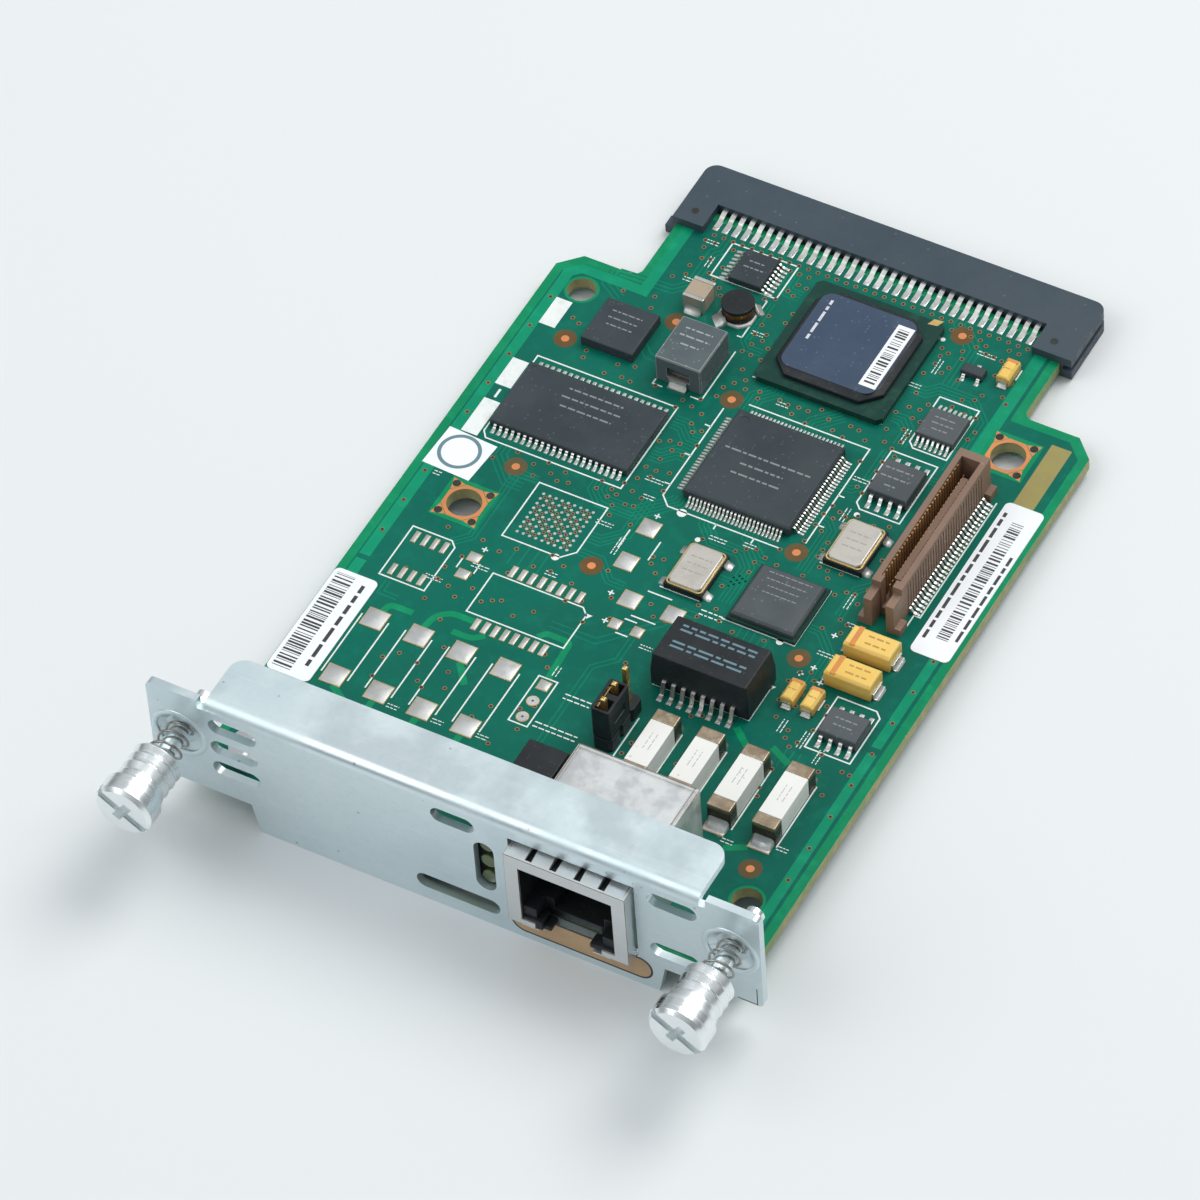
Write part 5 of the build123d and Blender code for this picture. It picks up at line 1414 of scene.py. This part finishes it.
def springs():
    """Smooth wire coils between the dishes and the knobs."""
    wire_r, turns, per_turn, sides = 0.16, 2.75, 40, 10
    first_r, widening, crowding = 1.5, 0.43, 1.25
    for side in ("left", "right"):
        node = "spring_" + side
        x, z = middle_of(node, "xz")
        near, far = low_of(node, "y") + wire_r, high_of(node, "y") - wire_r
        bm = bmesh.new()
        steps = int(turns * per_turn)
        before = None
        for i in range(steps + 1):
            t = i / steps
            angle = math.tau * turns * t
            radius = first_r + widening * t
            y = far + (near - far) * t ** crowding
            middle = Vector((x + radius * math.cos(angle), y, z + radius * math.sin(angle)))
            out = Vector((math.cos(angle), 0, math.sin(angle)))
            loop = []
            for k in range(sides):
                a = math.tau * k / sides
                rise = Vector((0, wire_r * math.sin(a), 0))
                loop.append(bm.verts.new(middle + out * wire_r * math.cos(a) + rise))
            if before:
                for k in range(sides):
                    after = (k + 1) % sides
                    bm.faces.new((before[k], before[after], loop[after], loop[k]))
            else:
                bm.faces.new(loop)
            before = loop
        bm.faces.new(before)
        made = piece(bm, node + "_wire", SPRING, slot="spring_steel", replaces=(node,), angle=50)
        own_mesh(made)


# Middles of parts that come in sets: x, y, and for the large capacitors the reach and width of their ends
TANTALUM_ENDS = ((26.6, 2.55, 3.0, 2.2), (26.6, -2.25, 3.0, 2.2))
SMALL_TANTALUM_ENDS = ((21.3, -6.95), (23.9, -7.05), (21.2, 47.45))
OSCILLATORS = ((2.65, 4.45), (17.5, 15.75))


def solder_wedge(length, width, height):
    """Solder that climbs a part's end, as a loose mesh that points along X."""
    bm = bmesh.new()
    profile = ((0, 0), (length, 0), (length * 0.92, height * 0.1), (length * 0.5, height * 0.28),
               (length * 0.2, height * 0.6), (0, height))
    loops = []
    for y, share in ((-width / 2, 0.75), (-width * 0.4, 1.0), (width * 0.4, 1.0), (width / 2, 0.75)):
        loops.append([bm.verts.new((x * share, y, z * share)) for x, z in profile])
    for before, after in zip(loops, loops[1:]):
        for i in range(len(profile)):
            j = (i + 1) % len(profile)
            bm.faces.new((before[i], before[j], after[j], after[i]))
    bm.faces.new(loops[0])
    bm.faces.new(loops[-1])
    return shape_from(bm)


def solder_at_ends():
    """Solder at the feet of fuses, capacitors, oscillators and inductors."""
    spots = []
    low, high = low_of("fuse_caps", "y"), high_of("fuse_caps", "y")
    for number in (1, 2, 3, 4):
        x = middle_of(f"fuse_{number}", "x")[0]
        spots += [(x, low + 0.1, 270, 1.25, 2.7, 1.3), (x, high - 0.1, 90, 1.1, 2.7, 1.5)]
    for x, y, reach, width in TANTALUM_ENDS:
        spots += [(x + side * reach, y, 90 - 90 * side, 0.8, width, 0.9) for side in (-1, 1)]
    for x, y in SMALL_TANTALUM_ENDS:
        spots += [(x, y + side * 1.55, 90 * side, 0.6, 1.3, 0.7) for side in (-1, 1)]
    for x, y in OSCILLATORS:
        for across in (-2.6, 2.6):
            spots += [(x + side * 2.4, y + across, 90 - 90 * side, 1.0, 1.25, 0.75) for side in (-1, 1)]
    x, y = middle_of("ceramic_capacitor_ends")
    reach = high_of("ceramic_capacitor_ends", "y") - y
    spots += [(x, y + side * (reach - 0.1), 90 * side, 0.8, 2.2, 1.1) for side in (-1, 1)]
    x, y = middle_of("drum_inductor_base")
    spots += [(x - 1.2, y - 1.5, 225, 1.3, 2.2, 0.9), (x + 1.5, y + 1.2, 45, 1.0, 2.0, 0.8)]
    bm = bmesh.new()
    for x, y, turn, length, width, height in spots:
        stamp(bm, solder_wedge(length, width, height), x, y, TOP, turn)
    piece(bm, "solder_ends", SOLDER, slot="contact_tin", angle=60)


# Bars on the small chips: each row's place from the middle along Y and half its length
CHIP_ROWS = (("regulator_chip", ((1.8, 2.0), (0.7, 2.0), (-0.4, 1.7))),
             ("buffer_chip", ((0.8, 1.0), (-0.2, 1.3))),
             ("logic_chip", ((0.9, 1.4), (0, 1.4), (-0.9, 1.0))),
             ("monitor_chip", ((0.6, 1.4), (-0.4, 1.2))))


def part_marks():
    """Stripes, rims and plain bars that the small parts carry on top."""
    rng = random.Random(SEED + 4)
    bands, bars = bmesh.new(), bmesh.new()
    top = high_of("large_tantalum_capacitors", "z")
    for x, y, _, _ in TANTALUM_ENDS:
        box(bands, x - 2.25, x - 1.6, y - 1.45, y + 1.45, top - 0.1, top + 0.012)
        for line in (0.55, -0.55):
            dashes(bars, rng, x - 0.7, x + 2.0, y + line, 0.8, top)
    top = high_of("small_tantalum_capacitors", "z")
    for x, y in SMALL_TANTALUM_ENDS:
        box(bands, x - 0.7, x + 0.7, y + 0.95, y + 1.4, top - 0.1, top + 0.012)
        dashes(bars, rng, x - 0.5, x + 0.5, y - 0.1, 0.5, top)
    piece(bands, "tantalum_bands", ORANGE_BAND, slot="tantalum_yellow")
    piece(bars, "tantalum_bars", RESIN_PRINT, slot="tantalum_yellow")
    rims, bars = bmesh.new(), bmesh.new()
    for number, (x, y) in enumerate(OSCILLATORS, 1):
        lid = f"oscillator_lid_{number}"
        low, high = high_of(f"oscillator_base_{number}", "z"), high_of(lid, "z")
        ribbon(rims, round_rect(*sides_of(lid, 0.08), 0.5), 0.2, low - 0.05, low + 0.16, closed=True)
        for line in (1.3, 0.2, -0.9):
            dashes(bars, rng, x - 1.3, x + 1.4, y + line, 0.6, high)
    piece(rims, "oscillator_rims", LID_GOLD, slot="lid_metal")
    piece(bars, "oscillator_bars", LID_PRINT, slot="lid_metal")
    bars = bmesh.new()
    bars_on(bars, rng, "power_inductor", 0.7, ((2.0, 1.8), (0.8, 2.0), (-0.5, 1.2)))
    piece(bars, "inductor_bars", INDUCTOR_PRINT, slot="ferrite")
    for node, rows in CHIP_ROWS:
        bars = bmesh.new()
        bars_on(bars, rng, node, 0.6, rows)
        piece(bars, node + "_bars", GREY_INK, slot="chip_black")
    bars = bmesh.new()
    for number in (1, 2, 3, 4):
        node = f"fuse_{number}"
        x, y = middle_of(node)
        for line in (-0.3, 0.35):
            dashes(bars, rng, y - 1.0, y + 1.5, x + line, 0.6, high_of(node, "z"), upright=True, thick=0.1)
    piece(bars, "fuse_bars", FUSE_PRINT, slot="ceramic_white")
    window = bmesh.new()
    x, y = middle_of("power_inductor")
    front = low_of("power_inductor", "y")
    box(window, x - 1.3, x + 1.3, front + 0.3, front + 0.5, TOP + 1.15, TOP + 1.3)
    piece(window, "inductor_copper", COPPER_BAR, slot="winding")


def small_parts():
    """The smaller parts' bodies, each with its own finish."""
    dressed("power_inductor", FERRITE, 0.07, 2, CHIPPED)
    dressed("power_inductor_clips", SOLDER, 0.05)
    dressed("drum_inductor_core", BLACK, 0.1)
    dressed("drum_inductor_winding", WINDING, 0)
    dressed("drum_inductor_base", WHITE_PLASTIC, 0.06)
    dressed("ceramic_capacitor", CERAMIC_TAN, 0.08)
    dressed("ceramic_capacitor_ends", SOLDER, 0.1)
    dressed("large_tantalum_capacitors", TANTALUM, 0.1)
    dressed("small_tantalum_capacitors", TANTALUM, 0.08)
    dressed("tantalum_terminals", LEAD_TIN, 0.03)
    for number in (1, 2):
        dressed(f"oscillator_base_{number}", BLACK, 0.06)
        dressed(f"oscillator_lid_{number}", LID, 0.08, 3)
    dressed("transformer_body", BLACK, 0.2, 3)
    for number in (1, 2, 3, 4):
        dressed(f"fuse_{number}", CERAMIC_WHITE, 0.08)
    dressed("fuse_caps", CAP_METAL, 0.14, 3)
    dressed("header_base", BLACK, 0.06)
    dressed("header_pins", CONTACT_GOLD, 0.04)
    dressed("jumper_shunt", BLACK, 0.06)
    dressed("shunt_clip", CONTACT_GOLD, 0)
    dressed("under_chips", CERAMIC_TAN, 0.05)


# Floor, light and camera
FLOOR_HALF = 3.0
FLOOR_DROP = 0.00002
CAMERA_PLACE = (0.351746, -0.571892, 0.791339)
CAMERA_AIM = (-0.005521, -0.003929, 0.0048)
CAMERA_ROLL = math.radians(-4.634)
CAMERA_LENS = 268.77

# The sky's brightness by height, from below to straight up
SKY = ((0.0, 0.42), (0.3, 0.5), (0.55, 0.95))


def floor():
    """A plain pale floor that the skirt's foot and the connector's back edge stand on."""
    reach = high_of("edge_connector_housing", "y") - FACE
    tilt = math.atan2(low_of("edge_connector_housing", "z"), reach)
    bm = bmesh.new()
    bmesh.ops.create_grid(bm, x_segments=1, y_segments=1, size=FLOOR_HALF)
    bmesh.ops.rotate(bm, cent=(0, 0, 0), matrix=Matrix.Rotation(tilt, 3, "X"), verts=bm.verts)
    bmesh.ops.translate(bm, vec=(0, FRAME_FACE * MM, -FLOOR_DROP), verts=bm.verts)
    mesh = bpy.data.meshes.new("floor")
    bm.to_mesh(mesh)
    bm.free()
    made = bpy.data.objects.new("floor", mesh)
    bpy.context.scene.collection.objects.link(made)
    mesh.materials.append(Finish("floor_paint", (0.725, 0.75, 0.758), 0.6, specular=0.2).material)


def lamp(name, place, size, power, colour):
    """A square lamp that faces the card."""
    light = bpy.data.lights.new(name, "AREA")
    light.size = size
    light.energy = power
    light.color = colour
    made = bpy.data.objects.new(name, light)
    made.location = place
    made.rotation_euler = (-Vector(place)).to_track_quat("-Z", "Y").to_euler()
    bpy.context.scene.collection.objects.link(made)


def lights():
    """A soft sky that is brighter above, a large key lamp and a fill."""
    world = bpy.data.worlds.new("studio")
    bpy.context.scene.world = world
    world.use_nodes = True
    tree = world.node_tree
    background = tree.nodes["Background"]
    background.inputs["Strength"].default_value = 0.6
    where = put(tree, "ShaderNodeTexCoord")
    split = put(tree, "ShaderNodeSeparateXYZ")
    ramp = put(tree, "ShaderNodeValToRGB")
    stops = ramp.color_ramp.elements
    for height, bright in SKY:
        stops.new(height).color = (bright * 0.93, bright * 0.97, bright, 1)
    stops.remove(stops[0])
    stops[-1].color = (1.04, 1.08, 1.12, 1)
    wire(tree, (where, "Generated", split, "Vector"), (split, "Z", ramp, "Fac"),
         (ramp, "Color", background, "Color"))
    lamp("key", (0.3, 0.55, 0.95), 0.7, 8.0, (1.0, 0.99, 0.97))
    lamp("fill", (-0.6, -0.55, 0.8), 0.9, 4.2, (0.95, 0.98, 1.0))


def camera():
    """The photo's viewpoint, with its small roll."""
    place, aim = (Vector(point) + SHIFT * MM for point in (CAMERA_PLACE, CAMERA_AIM))
    ahead = (aim - place).normalized()
    level = ahead.cross(Vector((0, 0, 1))).normalized()
    upright = level.cross(ahead)
    right = level * math.cos(CAMERA_ROLL) + upright * math.sin(CAMERA_ROLL)
    up = upright * math.cos(CAMERA_ROLL) - level * math.sin(CAMERA_ROLL)
    data = bpy.data.cameras.new("camera")
    data.sensor_width = 36
    data.sensor_fit = "HORIZONTAL"
    data.lens = CAMERA_LENS
    made = bpy.data.objects.new("camera", data)
    made.matrix_world = Matrix.Translation(place) @ Matrix((right, up, -ahead)).transposed().to_4x4()
    bpy.context.scene.collection.objects.link(made)
    bpy.context.scene.camera = made


board_body()
board_planes()
ringed_holes()
copper_spots()
tracks()
through_contacts("via", TOP, 1)
bare_pads()
ball_grid()
board_print()
chips()
chip_leads()
chip_print()
framer_labels()
paper_labels()
edge_connector()
mezzanine()
front_end()
jack_details()
ear_rings()
pilot_tips()
springs()
under_side()
small_parts()
solder_at_ends()
part_marks()
floor()
lights()
camera()

bpy.context.scene.view_settings.view_transform = "Standard"
